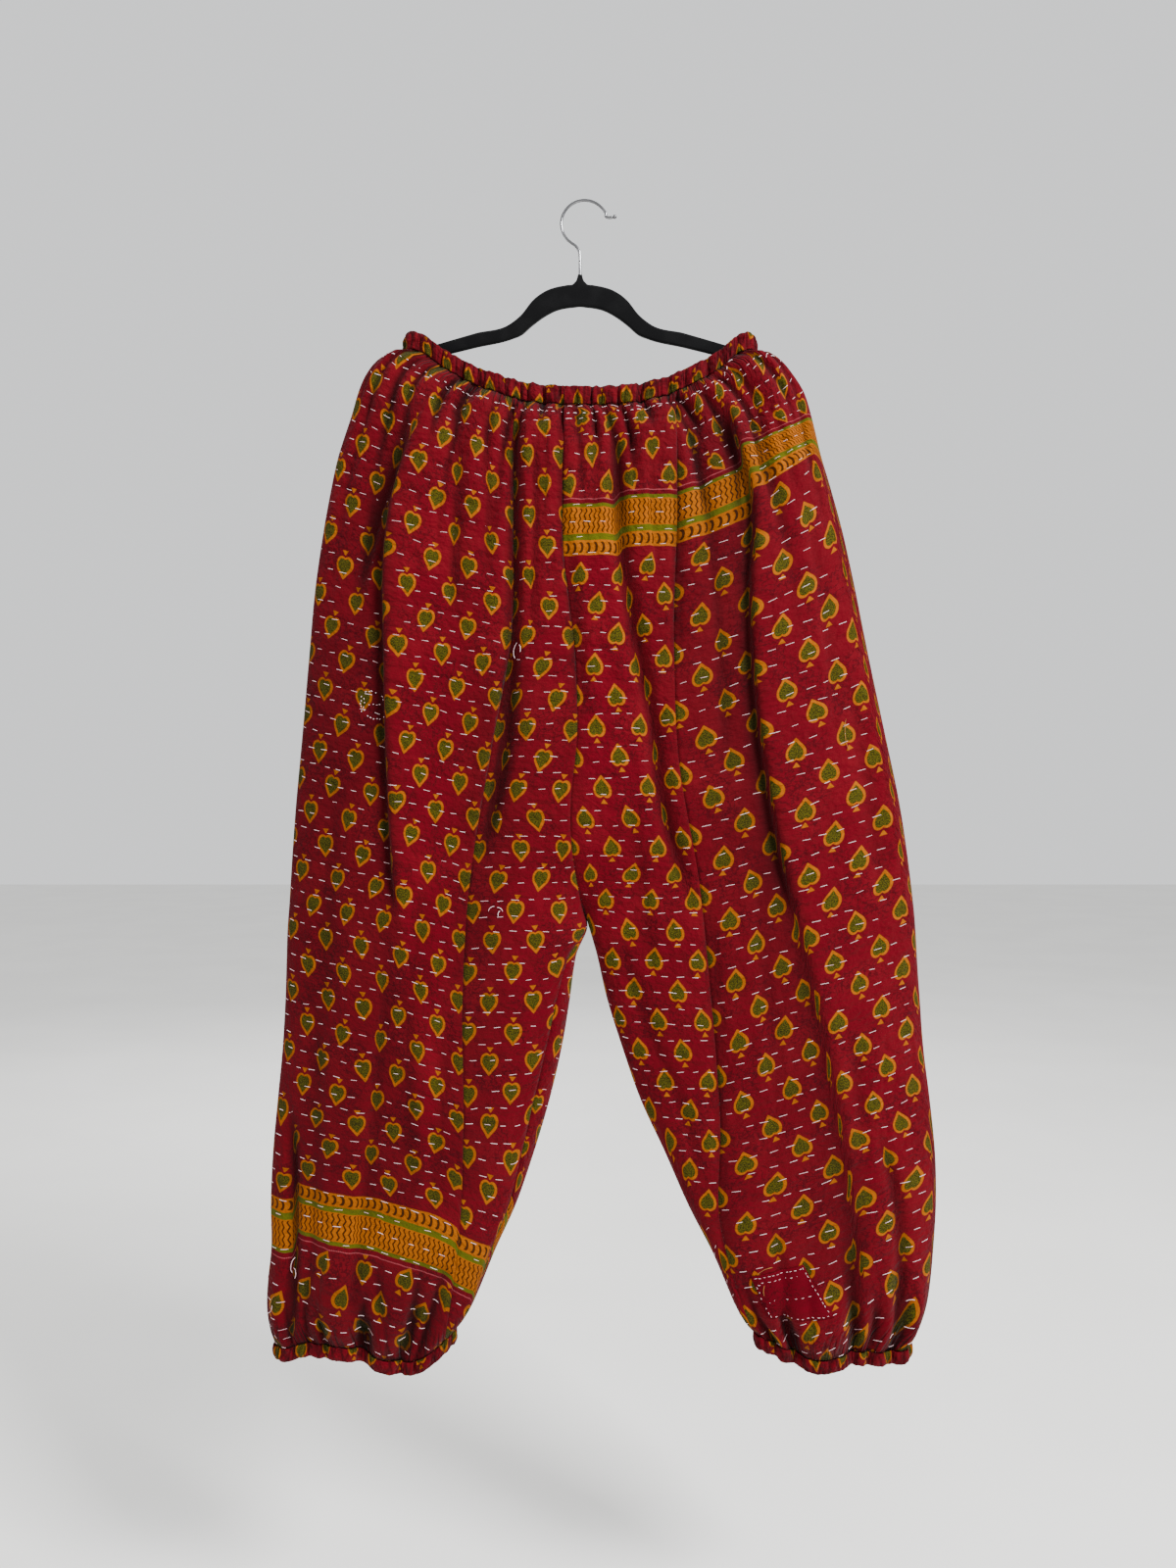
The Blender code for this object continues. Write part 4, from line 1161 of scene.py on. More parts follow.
def swept_faces(rings, flip=False):
    """Faces of rings of points that follow a line, with both ends closed."""
    index = np.arange(rings[..., 0].size).reshape(rings.shape[:2])
    after = np.roll(index, -1, axis=1)
    corners, ends = [index[:-1], after[:-1], after[1:], index[1:]], [index[0, ::-1], index[-1]]
    if flip:
        corners, ends = corners[:1] + corners[:0:-1], [end[::-1] for end in ends]
    return quads(*corners).tolist() + [end.tolist() for end in ends]


def stitch_template():
    """A short thread along x, thick in the middle, that dives at both ends."""
    rings = []
    for share in (-1.0, -0.82, -0.3, 0.3, 0.82, 1.0):
        wide, lift = (0.35, -0.45) if abs(share) == 1.0 else (1.0, 0.0)
        x, y = share * STITCH_LONG / 2, STITCH_WIDE / 2 * wide
        rings.append([(x, y, lift), (x, y * 0.55, STITCH_HIGH + lift), (x, -y * 0.55, STITCH_HIGH + lift),
                      (x, -y, lift)])
    return mesh_object("stitch_thread", rings, swept_faces(np.array(rings)))


STITCH = stitch_template()
STITCH_FACES = len(STITCH.data.polygons)
print("faces of one stitch:", STITCH_FACES)

# %% [markdown]
# The rows come first. Each point of the grid becomes the middle of a stitch. Every row is shifted by a
# chance amount, each stitch strays a little, and the rows wander slowly, as they do from a real hand.

# %% Rows of stitches on the flat map
STITCH_REACH = 0.0042       # m, from a stitch's middle to past its end
STITCH_TURN = 0.13          # radians that a stitch may lean
STITCH_LENGTHS = (0.68, 1.12)   # least and most, as a share of the template's length


def attribute(n, name, kind="FLOAT"):
    """A value stored on the points of the geometry."""
    return n.add("GeometryNodeInputNamedAttribute", {"Name": name}, data_type=kind)


def finished(n, geometry, finish):
    """The last two steps of a tree: real mesh, in its material."""
    whole = n.add("GeometryNodeRealizeInstances", {"Geometry": geometry})
    return n.give(Geometry=n.add("GeometryNodeSetMaterial", {"Geometry": whole, "Material": finish}))


def stitch_layout(n, given):
    """Points in rows on the flat map, each a little astray."""
    pitch, row, stray, seed = (given[name] for name in ("Pitch", "Row", "Stray", "Seed"))
    across = n.math("ROUND", given["Across"] / pitch)
    down = n.math("ROUND", given["Down"] / row)
    size_x, size_y = across * pitch, down * row
    layout = n.add("GeometryNodeMeshGrid", {"Size X": size_x, "Size Y": size_y,
                                            "Vertices X": across + 1.0, "Vertices Y": down + 1.0})
    place = n.add("GeometryNodeInputPosition")
    _, row_place, _ = n.split(place)
    row_chance = n.add("ShaderNodeTexWhiteNoise", {"W": row_place * 61.7 + seed}, noise_dimensions="1D")
    random = n.add("FunctionNodeRandomValue", {
        "Seed": seed, "Min": n.join(stray * -1.6, stray * -0.5), "Max": n.join(stray * 1.6, stray * 0.5)},
        data_type="FLOAT_VECTOR")
    wander = n.noise(n.vector("MULTIPLY", place, (9.0, 55.0, 0.0)), detail=1.0) - 0.5
    corner = n.vector("ADD", given["Start"], n.join(size_x * 0.5, size_y * 0.5))
    row_move = n.join(row_chance * pitch, wander * (stray * 4.0))
    moved = n.vector("ADD", n.vector("ADD", corner, random), row_move)
    return n.add("GeometryNodeSetPosition", {"Geometry": layout, "Offset": moved})


# %% [markdown]
# The tree itself puts a thread on each point whose both ends lie on the cloth, makes the threads real,
# and carries every one of their points over. A point that misses the cloth is marked and deleted.


# %% The stitch tree
def stitch_tree():
    n, given = new_group("running_stitch", {
        "Geometry": "Geometry", "Cloth": "Object", "Thread": "Object", "Start": "Vector",
        "Across": 0.4, "Down": 0.9, "Pitch": 0.015, "Row": 0.015, "Stray": 0.001,
        "Reach": STITCH_REACH, "Share": 0.95, "Thickness": 1.0, "Seed": 1, "Finish": "Material"},
        "GeometryNodeTree")
    cloth, thread = (n.add("GeometryNodeObjectInfo", {"Object": given[name]})["Geometry"]
                     for name in ("Cloth", "Thread"))
    flat_map = attribute(n, "UVMap", "FLOAT_VECTOR")
    here = n.add("GeometryNodeInputPosition")

    def carry(value, where):
        return n.add("GeometryNodeSampleUVSurface", {
            "Mesh": cloth, "Value": value, "Source UV Map": flat_map, "Sample UV": where},
            data_type="FLOAT_VECTOR")

    def chance(kind, seed_step, low=None, high=None):
        seed = given["Seed"] + seed_step
        if kind == "BOOLEAN":
            return n.add("FunctionNodeRandomValue", {"Seed": seed, "Probability": given["Share"]},
                         data_type=kind)[3]
        return n.add("FunctionNodeRandomValue", {"Seed": seed, 2: low, 3: high}, data_type=kind)[1]

    reach = n.join(given["Reach"] * 1.25, 0.0)
    kept = chance("BOOLEAN", 5.0)
    for way in ("SUBTRACT", "ADD"):     # both ends of a stitch have to lie on the cloth
        lies = carry(here, n.vector(way, here, reach))["Is Valid"]
        kept = n.add("FunctionNodeBooleanMath", [lies, kept], operation="AND")
    length = chance("FLOAT", 9.0, *STITCH_LENGTHS) * given["Reach"] / STITCH_REACH
    sewn = n.add("GeometryNodeInstanceOnPoints", {
        "Points": stitch_layout(n, given), "Selection": kept, "Instance": thread,
        "Rotation": n.join(0.0, 0.0, chance("FLOAT", 7.0, -STITCH_TURN, STITCH_TURN)),
        "Scale": n.join(length, given["Thickness"], given["Thickness"])})
    loose = n.add("GeometryNodeRealizeInstances", {"Geometry": sewn})
    x, y, high = n.split(here)
    where = n.join(x, y)
    found = carry(here, where)
    facing = n.vector("NORMALIZE", carry(n.add("GeometryNodeInputNormal"), where)["Value"])
    final = n.vector("ADD", found["Value"], n.vector("SCALE", facing, scale=high))
    loose = n.add("GeometryNodeStoreNamedAttribute", {
        "Geometry": loose, "Name": "missed", "Value": 1.0 - found["Is Valid"]})
    laid = n.add("GeometryNodeSetPosition", {"Geometry": loose, "Position": final})
    missed = attribute(n, "missed") > 0.5
    laid = n.add("GeometryNodeDeleteGeometry", {"Geometry": laid, "Selection": missed})
    return finished(n, laid, given["Finish"])


STITCH_TREE = stitch_tree()

# %% [markdown]
# A tree gives its result only through a modifier. This helper sets the modifier's inputs by their
# identifiers, evaluates it once, keeps the result as a plain mesh, and takes the modifier away again.


# %% Turn a tree's result into a plain mesh
def grow(name, tree, base=None, **inputs):
    """A plain object from a tree's result."""
    base = base or new_object(name + "_seed", bpy.data.meshes.new(name + "_seed"))
    modifier = base.modifiers.new("grow", "NODES")
    modifier.node_group = tree
    for item in tree.interface.items_tree:
        if item.in_out == "INPUT" and item.name in inputs:
            modifier[item.identifier] = inputs[item.name]
    graph = bpy.context.evaluated_depsgraph_get()
    graph.update()
    mesh = bpy.data.meshes.new_from_object(base.evaluated_get(graph), depsgraph=graph)
    base.modifiers.remove(modifier)
    bpy.data.objects.remove(base, do_unlink=True)
    mesh.name = name
    return new_object(name, mesh)


def thread_material(name, light, shade):
    """Cotton thread: pale, slightly uneven along its length."""
    material, n = new_material(name)
    place = n.add("ShaderNodeTexCoord")["Object"]
    twist = n.noise(n.vector("MULTIPLY", place, (2600.0, 900.0, 2600.0)), detail=1.0)
    dress(n, ((0.4, 0.0002, twist),), Roughness=0.75,
          Base_Color=n.mix(n.step(n.noise(place, 90.0), 0.35, 0.7), light, shade))
    return material


THREAD = thread_material("white_thread", srgb(214, 192, 194), srgb(196, 152, 158))
print("thread:", len(THREAD.node_tree.nodes), "nodes")

# %% [markdown]
# Each panel gets its own rows, which start on a whole row of the flat map, so that they run on across
# the seams.

# %% Sew the panels
FIRST_SEED = 40
STITCH_PITCH, STITCH_STRAY = 0.0152, 0.0012     # m
STITCH_SHARE = 0.9          # one stitch in ten is worn away
stitches = []
for number, (node, (surface, flat)) in enumerate(bare.items()):
    low, high = flat.min(axis=(0, 1)), flat.max(axis=(0, 1))
    first_row = math.ceil(low[1] / (STITCH_ROW * MM)) * STITCH_ROW * MM
    piece = grow(node + "_stitches", STITCH_TREE, Cloth=surface, Thread=STITCH,
                 Start=(float(low[0]) - 0.015, first_row, 0.0), Across=float(high[0] - low[0]),
                 Down=float(high[1] - first_row), Pitch=STITCH_PITCH, Row=STITCH_ROW * MM,
                 Stray=STITCH_STRAY, Reach=STITCH_REACH, Share=STITCH_SHARE, Thickness=1.0,
                 Seed=FIRST_SEED + number, Finish=THREAD)
    stitches.append(piece)
    print(piece.name, "stitches", len(piece.data.polygons) // STITCH_FACES)

# %% [markdown]
# ## The elastic casings
# A casing is a tube of cloth drawn up on elastic, so it stands in close, uneven rucks. We sweep a
# flattened loop round the edge of the cloth. It is a rule with a few sizes, so a small tree does the
# rucking: one noise along the way round, read at the ruck's width, pushes the cloth in and out.

# %% Casing rings
CASING_STEPS = 9            # points for each ruck
RUCK_WIDTH = 6.4            # mm
WAIST_HEIGHT, WAIST_SIDE_HEIGHT, ANKLE_HEIGHT = 17.5, 11.5, 13.0
CASING_CLOTH = 0.8          # mm
CASING_FULLNESS = 1.25      # cut length for each length of elastic
CASING_PROFILE = (          # the folded strip seen on end: share of the height, mm outwards
    (0.00, 1.7), (0.07, 2.2), (0.25, 2.5), (0.50, 2.6), (0.75, 2.3), (0.90, 1.6), (0.98, 0.7),
    (1.00, -0.3), (0.96, -1.4), (0.82, -2.2), (0.55, -2.6), (0.28, -2.5), (0.08, -2.2), (0.00, -1.7),
)


def way_along(line):
    """Distance along a line at each of its points."""
    return running(np.linalg.norm(np.diff(line, axis=0), axis=1))


def read_line(way, line, at):
    """Points of a line at distances along it."""
    return np.stack([np.interp(at, way, column) for column in line.T], axis=-1)


def folded_strip(heights):
    """The strip's outer and inner side at each station: share up, mm out, and which way it bulges."""
    share, out = np.array(CASING_PROFILE).T
    high = share[:, None] * heights
    wide, bulge = (np.repeat(column[:, None], len(heights), axis=1) for column in (out, out / 2.6))
    along_high, along_wide = np.gradient(high, axis=0), np.gradient(wide, axis=0)
    size = np.hypot(along_high, along_wide)
    inner_high = high + along_wide / size * CASING_CLOTH
    inner_wide = wide - along_high / size * CASING_CLOTH
    return [np.concatenate([outer, inner[::-1]])
            for outer, inner in ((high, inner_high), (wide, inner_wide), (bulge, bulge))]


def casing_ring(name, points, outward, height_of, direction, v_top):
    """A smooth ring of folded cloth along a closed line, before its rucks."""
    steps = int(way_along(points)[-1] / RUCK_WIDTH * CASING_STEPS)
    points, outward = np.concatenate([points, points[:1]]), np.concatenate([outward, outward[:1]])
    way = way_along(points)
    at = np.linspace(0.0, way[-1], steps, endpoint=False)
    line = read_line(way, points, at)
    facing = unit(read_line(way, outward, at) * (1.0, 1.0, 0.0))
    high, wide, bulge = folded_strip(height_of(line))
    block = line + facing * wide[..., None]
    block[..., 2] += direction * high
    flat = np.stack([np.repeat(at[None] * 1.6, len(high), axis=0),
                     v_top + 5 * np.sin(at / 47) - direction * high * 1.15], axis=-1)
    index = np.arange(high.size).reshape(high.shape)
    above, beside = np.roll(index, -1, axis=0), np.roll(index, -1, axis=1)
    faces = quads(index, beside, np.roll(above, -1, axis=1), above, direction < 0)
    ring = mesh_object(name, block, faces, uv=flat * MM)
    mark(ring, "around", np.tile(at * MM, len(high)))
    mark(ring, "way", (facing * bulge[..., None]).reshape(-1, 3))
    return ring, way[-1]


# %% [markdown]
# The ruck tree pushes each point along the direction that the ring has stored, and shifts the free edge
# up and down a little, so that it isn't cut straight. It also stores how hollow each ruck is, which the
# cotton paints as shade in the rucks.


# %% The ruck tree
def ruck_tree():
    n, given = new_group("ruck", {
        "Geometry": "Geometry", "Width": 0.0064, "Depth": 0.001, "Edge": 0.001, "Seed": 1.0,
        "Finish": "Material"}, "GeometryNodeTree")
    way = attribute(n, "around") / given["Width"]
    bulge = attribute(n, "way", "FLOAT_VECTOR")
    high = n.split(n.add("GeometryNodeInputPosition"))["Z"]
    tilt = high * 45.0 + (n.split(bulge)["Y"] > 0.0) * 31.0
    broad, sharp, jag = (n.noise(n.join(way * stretch, lean, given["Seed"]), detail=1.0) - 0.5
                         for stretch, lean in ((1.05, tilt), (2.3, tilt * 1.4), (0.9, 7.0)))
    ridge = n.math("POWER", abs(broad) * 4.0, 0.6)
    out_move = n.vector("SCALE", bulge, scale=(ridge - 0.75 + sharp) * given["Depth"])
    up_move = n.join(0.0, 0.0, jag * (given["Edge"] * 4.0))
    # painted shade in the hollows between the rucks
    hollow = n.math("MULTIPLY", 0.62 - ridge, 1.7, clamp=True)
    marked = n.add("GeometryNodeStoreNamedAttribute", {
        "Geometry": given["Geometry"], "Name": "hollow", "Value": hollow})
    moved = n.add("GeometryNodeSetPosition", {"Geometry": marked,
                                              "Offset": n.vector("ADD", out_move, up_move)})
    return finished(n, moved, given["Finish"])


RUCK_TREE = ruck_tree()


# %% [markdown]
# Three casings are swept: one round the waist, along the right half and back along the left one, and one
# round each ankle. At the waist the rucks are a little deeper.


# %% Ring the waist and the ankles
def waist_height(line):
    """The casing is seen edge-on at the sides, where it turns over."""
    flat = blend(0.1, 0.75, np.abs(line[:, 1]) / LEVEL_TABLE["depth"][0])
    return WAIST_SIDE_HEIGHT + (WAIST_HEIGHT - WAIST_SIDE_HEIGHT) * flat


def ankle_height(line):
    """The casings of the ankles are the same height all round."""
    return np.full(len(line), ANKLE_HEIGHT)


def edge_line(node, name):
    """Points or normals along the cloth's edge that a casing is sewn to, as a closed line."""
    left, right = GRIDS["left"][name], GRIDS["right"][name]
    return {"waist_casing": np.concatenate([right[0, :-1], left[0, :0:-1]]),
            "left_ankle_casing": left[-1, -2::-1], "right_ankle_casing": right[-1, :-1]}[node]


casings = {}
for node, height_of, direction, v_top, depth, edge, seed, strip in (
        ("waist_casing", waist_height, 1.0, 181.0, 0.0026, 0.0011, 3.0, 0.038),
        ("left_ankle_casing", ankle_height, -1.0, 150.0, 0.0022, 0.0008, 9.0, 0.029),
        ("right_ankle_casing", ankle_height, -1.0, 150.0, 0.0022, 0.0008, 10.0, 0.029)):
    ring, length = casing_ring(node + "_cloth", edge_line(node, "points"), edge_line(node, "normals"),
                               height_of, direction, v_top)
    piece = grow(node + "_cloth", RUCK_TREE, ring, Width=RUCK_WIDTH * MM, Depth=depth, Edge=edge,
                 Seed=seed, Finish=COTTON)
    casings[node] = (piece, (length * CASING_FULLNESS * MM, strip))
    print(node, round(length), "mm round")

# %% [markdown]
# ## The darning patch
# Above the right ankle a plain red patch is darned on with close small stitches. It lies on the outer
# panel, so it is made from that panel's own points, moved out by the thickness of a thread.

# %% The patch
PATCH_LEVELS = (22.15, 23.95)
PATCH_SHARES = (0.045, 0.205)   # of the outer panel's width
PATCH_POINTS = (30, 22)         # across and down
PATCH_LIFT, PATCH_CLOTH = 0.5, 0.7      # mm


def between(ends, share):
    """A value at a share of the way between two ends."""
    return ends[0] + (ends[1] - ends[0]) * share


def patch_grid():
    """Points, directions and map of a slanting four-sided patch on the right outer panel."""
    columns = panel_slice("right", "outer")
    points, normals = (GRIDS["right"][name][:, columns] for name in ("points", "normals"))
    s, t = np.meshgrid(*(np.linspace(0, 1, count) for count in PATCH_POINTS))
    column = between(PATCH_SHARES, s * (0.78 + 0.22 * t) + 0.1 * t) * (points.shape[1] - 1)
    level = between(PATCH_LEVELS, t * (1 - 0.12 * s) + 0.22 * (1 - s) * (1 - t))
    row = np.interp(level, GRIDS["right"]["levels"], np.arange(len(points)))

    def read(values):
        r, c = row.astype(int), column.astype(int)
        a, b = (row - r)[..., None], (column - c)[..., None]
        top = values[r, c] * (1 - b) + values[r, c + 1] * b
        low = values[r + 1, c] * (1 - b) + values[r + 1, c + 1] * b
        return top * (1 - a) + low * a

    facing = unit(read(normals))
    edge = np.minimum(np.minimum(s, 1 - s) * 6, np.minimum(t, 1 - t) * 5)
    lift = PATCH_LIFT + PATCH_CLOTH * np.clip(edge, 0.25, 1.0)
    return read(points) + facing * lift[..., None], facing, read(cloth_map("right", "outer"))


def patch_cotton():
    material, n = new_material("patch_cotton_plain")
    place = n.add("ShaderNodeUVMap", uv_map="UVMap")
    color = n.group(WORN_GROUND, Place=place, Cloth=srgb(75, 0, 11), Faded=srgb(84, 3, 15),
                    Dark=srgb(40, 0, 5))["Color"]
    weave = n.group(PLAIN_WEAVE, Place=place, Threads=1500.0)["Height"]
    dress(n, ((0.6, 0.0009, n.noise(place, 330.0)), (0.35, 0.0002, weave)), Base_Color=color,
          Roughness=0.9, Specular_IOR_Level=0.06)
    return material


patch_points, patch_facing, patch_map = patch_grid()
patch = cloth_shell("ankle_patch_cloth", patch_points, patch_facing, patch_map, patch_cotton(),
                    thickness=PATCH_CLOTH * 0.8)
print("patch faces:", len(patch.data.polygons))

# %% [markdown]
# ## Threads sewn one by one
# Some sewing follows no grid: the rows round the patch, the uneven line where the waist is gathered, a
# small darn on the left thigh, and a few loose ends. Each is a short tube swept along a few points. A
# point is first guessed and then brought to the nearest spot on its piece of cloth.

# %% Thread tubes
THREAD_SIDES = 5
THREAD_LEAN = (0.31, -0.9, 0.3)     # any direction that no thread follows, to start a tube's sides from


def tube(line, radius):
    """Rings of points of a thin tube along a line."""
    ahead = unit(np.gradient(line, axis=0))
    aside = unit(np.cross(ahead, THREAD_LEAN))
    upward = np.cross(aside, ahead)
    thick = np.full((len(line), 1, 1), radius)
    thick[[0, -1]] *= 0.35
    turn = np.linspace(0, 2 * math.pi, THREAD_SIDES, endpoint=False)[:, None]
    return line[:, None] + (np.cos(turn) * aside[:, None] + np.sin(turn) * upward[:, None]) * thick


def tubes_object(name, lines, radius, finish):
    """One object of many tubes, of one radius or one each."""
    points, faces, count = [], [], 0
    for line, half in zip(lines, np.broadcast_to(radius, len(lines))):
        rings = tube(np.asarray(line, float), half)
        faces += [[corner + count for corner in face] for face in swept_faces(rings)]
        points.append(rings.reshape(-1, 3))
        count += len(points[-1])
    return mesh_object(name, np.concatenate(points), faces, finish)


# %% [markdown]
# To lay a stitch down we ask the cloth itself, with Blender's own search for the nearest spot of a mesh
# or for the first spot that a ray from the front meets.


# %% Laying stitches on the cloth
def lay_on(piece, guess, lift):
    """The spot of a piece nearest a guess, lifted off it."""
    _, spot, facing, _ = piece.closest_point_on_mesh([value * MM for value in guess])
    return np.array(spot) / MM + np.array(facing) * lift


def seen_on(side, x, z, lift):
    """The spot of one half's cloth seen straight from the front at x, z, lifted off it."""
    hits = [piece.ray_cast((x * MM, -0.2, z * MM), (0.0, 1.0, 0.0))
            for (half, _), (piece, _) in panels.items() if half == side]
    hits = sorted((spot.y, tuple(spot), tuple(facing)) for hit, spot, facing, _ in hits if hit)
    return np.array(hits[0][1]) / MM + np.array(hits[0][2]) * lift if hits else None


def hand_stitch(piece, middle, along_line, length):
    """One stitch that dives into the cloth at both ends."""
    way = unit(np.asarray(along_line, float))
    shares = ((-0.5, -0.25), (-0.3, 0.25), (0.0, 0.38), (0.3, 0.25), (0.5, -0.25))
    return [lay_on(piece, middle + way * share * length, lift) for share, lift in shares]


def stitch_line(piece, path, length, pitch, rng, stray=0.5):
    """Stitches at a pitch along a path of guessed points."""
    path = np.asarray(path, float)
    way = way_along(path)
    lines = []
    for at in np.arange(pitch / 2, way[-1], pitch):
        at = at + rng.uniform(-0.15, 0.15) * pitch
        here, after = (read_line(way, path, place) for place in (at, at + 1))
        size = length * rng.uniform(0.75, 1.15)
        turned = (after - here) + rng.normal(0, 0.12, 3)
        lines.append(hand_stitch(piece, here + rng.normal(0, stray, 3), turned, size))
    return lines


# %% [markdown]
# All the hand sewing is drawn from one seeded list of random numbers, in a fixed order: the patch's
# rows, the darn, and the gathering line. The patch is sewn with a finer thread than the rest.

# %% Sew the patch, the darn and the gathering line
HAND_SEED = 5
PATCH_THREAD, HAND_THREAD = 0.24, 0.36      # mm, radius
PATCH_ROWS = (              # corners of a row as shares of the patch, stitch length and pitch
    (((0.05, 0.06), (0.96, 0.06), (0.95, 0.93)), 2.6, 4.4),
    (((0.96, 0.94), (0.05, 0.94), (0.05, 0.06)), 2.4, 5.0),
    (((0.03, 0.17), (0.9, 0.15)), 2.8, 5.6),
    (((0.06, 0.56), (0.94, 0.50)), 3.4, 6.6),
)
DARN = (-198.0, -483.0)     # x and z of the small darn on the left thigh
DARN_RUNS = (               # runs of stitches around it, x and z from its middle
    ((-10, 12), (-3, 13), (3, 11)), ((-12, 9), (-13, 2), (-12, -6)), ((-9, 7), (-10, 0), (-9, -6)),
    ((-6, 1), (1, 0), (7, 1)), ((-8, -10), (-2, -13), (5, -14), (10, -10)), ((6, 9), (9, 5)),
)
GATHER_ROW = 2              # grid row of the gathering line below the waist casing


def patch_path(corners, count=24):
    """Guessed points along straight runs between corners given as shares of the patch."""
    ends = np.array(corners, float)
    shares = np.concatenate([np.linspace(a, b, count) for a, b in zip(ends, ends[1:])])
    column, row = (shares * (patch_points.shape[1] - 1, patch_points.shape[0] - 1)).round().astype(int).T
    return patch_points[row, column]


rng = np.random.default_rng(HAND_SEED)
sewn_lines = []
for corners, length, pitch in PATCH_ROWS:
    sewn_lines += stitch_line(patch, patch_path(corners), length, pitch, rng, 0.25)
patch_lines = len(sewn_lines)
for run in DARN_RUNS:
    path = [seen_on("left", DARN[0] + x, DARN[1] + z, 0.0) for x, z in run]
    sewn_lines += stitch_line(panels["left", "outer"][0], path, 1.8, 3.3, rng, 0.3)
for (side, panel), (piece, _) in panels.items():
    path = GRIDS[side]["points"][GATHER_ROW, panel_slice(side, panel)]
    sewn_lines += stitch_line(piece, path, 3.6, 8.5, rng, 0.7)
radius = np.where(np.arange(len(sewn_lines)) < patch_lines, PATCH_THREAD, HAND_THREAD)
hand_sewn = tubes_object("hand_sewn_stitches", sewn_lines, radius, THREAD)
print("hand stitches:", len(sewn_lines))

# %% [markdown]
# Loose ends are drawn as short curls: a place on the cloth, a length, a direction and a curl.

# %% Loose ends
LOOSE_COLUMNS = ("x", "z", "length", "heading", "curl")
WHITE_ENDS = (
    (-63.0, -425.0, 17.0, 262, 1.0), (-61.0, -427.0, 9.0, 285, -1.4), (-84.0, -672.0, 9.0, 215, 1.6),
    (-82.0, -673.0, 8.0, 330, -1.5), (-79.0, -676.0, 6.0, 250, 1.2), (-274.0, -1006.0, 18.0, 255, 1.6),
    (-276.0, -1016.0, 13.0, 285, -2.0), (-295.0, -1050.0, 14.0, 240, -1.8),
)
OCHRE_ENDS = (
    (247.0, -496.0, 34.0, 272, 0.7), (-292.0, -1040.0, 20.0, 262, 1.5),
    (176.0, -1010.0, 18.0, 205, 0.9), (170.0, -1024.0, 15.0, 262, 0.8),
)
END_STEPS = 12


def loose_end(row):
    """A curling line that rests lightly on the cloth."""
    end = dict(zip(LOOSE_COLUMNS, row))
    side = "left" if end["x"] < 0 else "right"
    angle = math.radians(end["heading"]) + end["curl"] * np.linspace(-0.5, 0.5, END_STEPS)[1:]
    step = end["length"] / END_STEPS
    x, z = end["x"] + running(np.cos(angle) * step), end["z"] + running(np.sin(angle) * step)
    lift = 0.3 + 1.2 * np.sin(np.linspace(0, 2.4, END_STEPS))
    spots = [seen_on(side, *place) for place in zip(x, z, lift)]
    line = np.array([spot for spot in spots if spot is not None])
    line[1:-1, 1] = (line[:-2, 1] + line[1:-1, 1] + line[2:, 1]) / 3
    return line


OCHRE_THREAD = thread_material("ochre_thread", srgb(150, 96, 30), srgb(120, 66, 16))
white_ends = tubes_object("white_loose_ends", [loose_end(row) for row in WHITE_ENDS], 0.3, THREAD)
ochre_ends = tubes_object("ochre_loose_ends", [loose_end(row) for row in OCHRE_ENDS], 0.28, OCHRE_THREAD)
print("loose ends:", len(WHITE_ENDS) + len(OCHRE_ENDS))

# %% [markdown]
# The bare surfaces and the one loose thread that served as a pattern have done their work, so they are
# cleared away before anything is declared.

# %% Clear the helpers
for helper in [surface for surface, _ in bare.values()] + [STITCH]:
    bpy.data.objects.remove(helper, do_unlink=True)

# %% [markdown]
# ## The hanger
# The hanger is a slim moulded bar, flocked with black velvet, that rises to a hump in the middle. We
# sweep a rounded flat section from tip to tip through the same stations as the solid, read finely.

# %% Hanger body
HANGER_X = -4.4
HANGER_THICK = 5.5
HANGER = (                  # distance from the middle, top and bottom
    (0.0, -70.4, -100.4), (2.0, -70.6, -100.5), (2.7, -73.5, -100.6), (5.6, -78.2, -101.0),
    (12.5, -80.2, -101.8), (22.0, -82.0, -104.0), (32.0, -85.4, -108.9), (46.0, -95.7, -119.0),
    (55.5, -107.9, -127.3), (65.5, -116.4, -131.5), (100.0, -126.3, -139.6),
    (136.8, -137.0, -149.0), (157.0, -143.2, -155.2), (168.0, -147.5, -158.8),
    (180.0, -150.8, -162.2), (189.0, -154.6, -165.4), (192.4, -157.9, -164.9),
    (193.2, -160.3, -163.0),
)
HANGER_RUNS = ((0, 8, 17), (8, 189, 92), (189, 193.2, 12))      # from, to and number of rings
HANGER_SIDES = 24
HANGER_EDGE = 2.0           # radius of the rounded top and bottom
TIP_START, TIP_LENGTH = 186, 7.3        # where the arms begin to thin towards their tips


def hanger_ring(reach, high, low):
    """The bar's rounded section at a distance from the middle."""
    turn = np.linspace(0, 2 * math.pi, HANGER_SIDES, endpoint=False)
    tip = math.sqrt(max(0.02, 1 - max(0.0, (abs(reach) - TIP_START) / TIP_LENGTH) ** 2))
    half = (high - low) / 2
    edge = min(HANGER_EDGE, half * 0.9)
    y = HANGER_THICK / 2 * tip * np.sign(np.cos(turn)) * np.abs(np.cos(turn)) ** 0.55
    z = (half - edge) * np.sign(np.sin(turn)) * blend(0, 0.35, np.abs(np.sin(turn))) + edge * np.sin(turn)
    return np.stack([np.full(turn.shape, HANGER_X + reach), y, (high + low) / 2 + z], axis=1)


def hanger_rings():
    """Rings from tip to tip, read at close steps."""
    reach, top, bottom = np.array(HANGER).T
    fine = np.unique(np.concatenate([np.linspace(*run) for run in HANGER_RUNS]))
    half = np.stack([fine, smooth(reach, top, fine), smooth(reach, bottom, fine)], axis=1)
    return np.array([hanger_ring(*row) for row in np.concatenate([half[:0:-1] * (-1, 1, 1), half])])


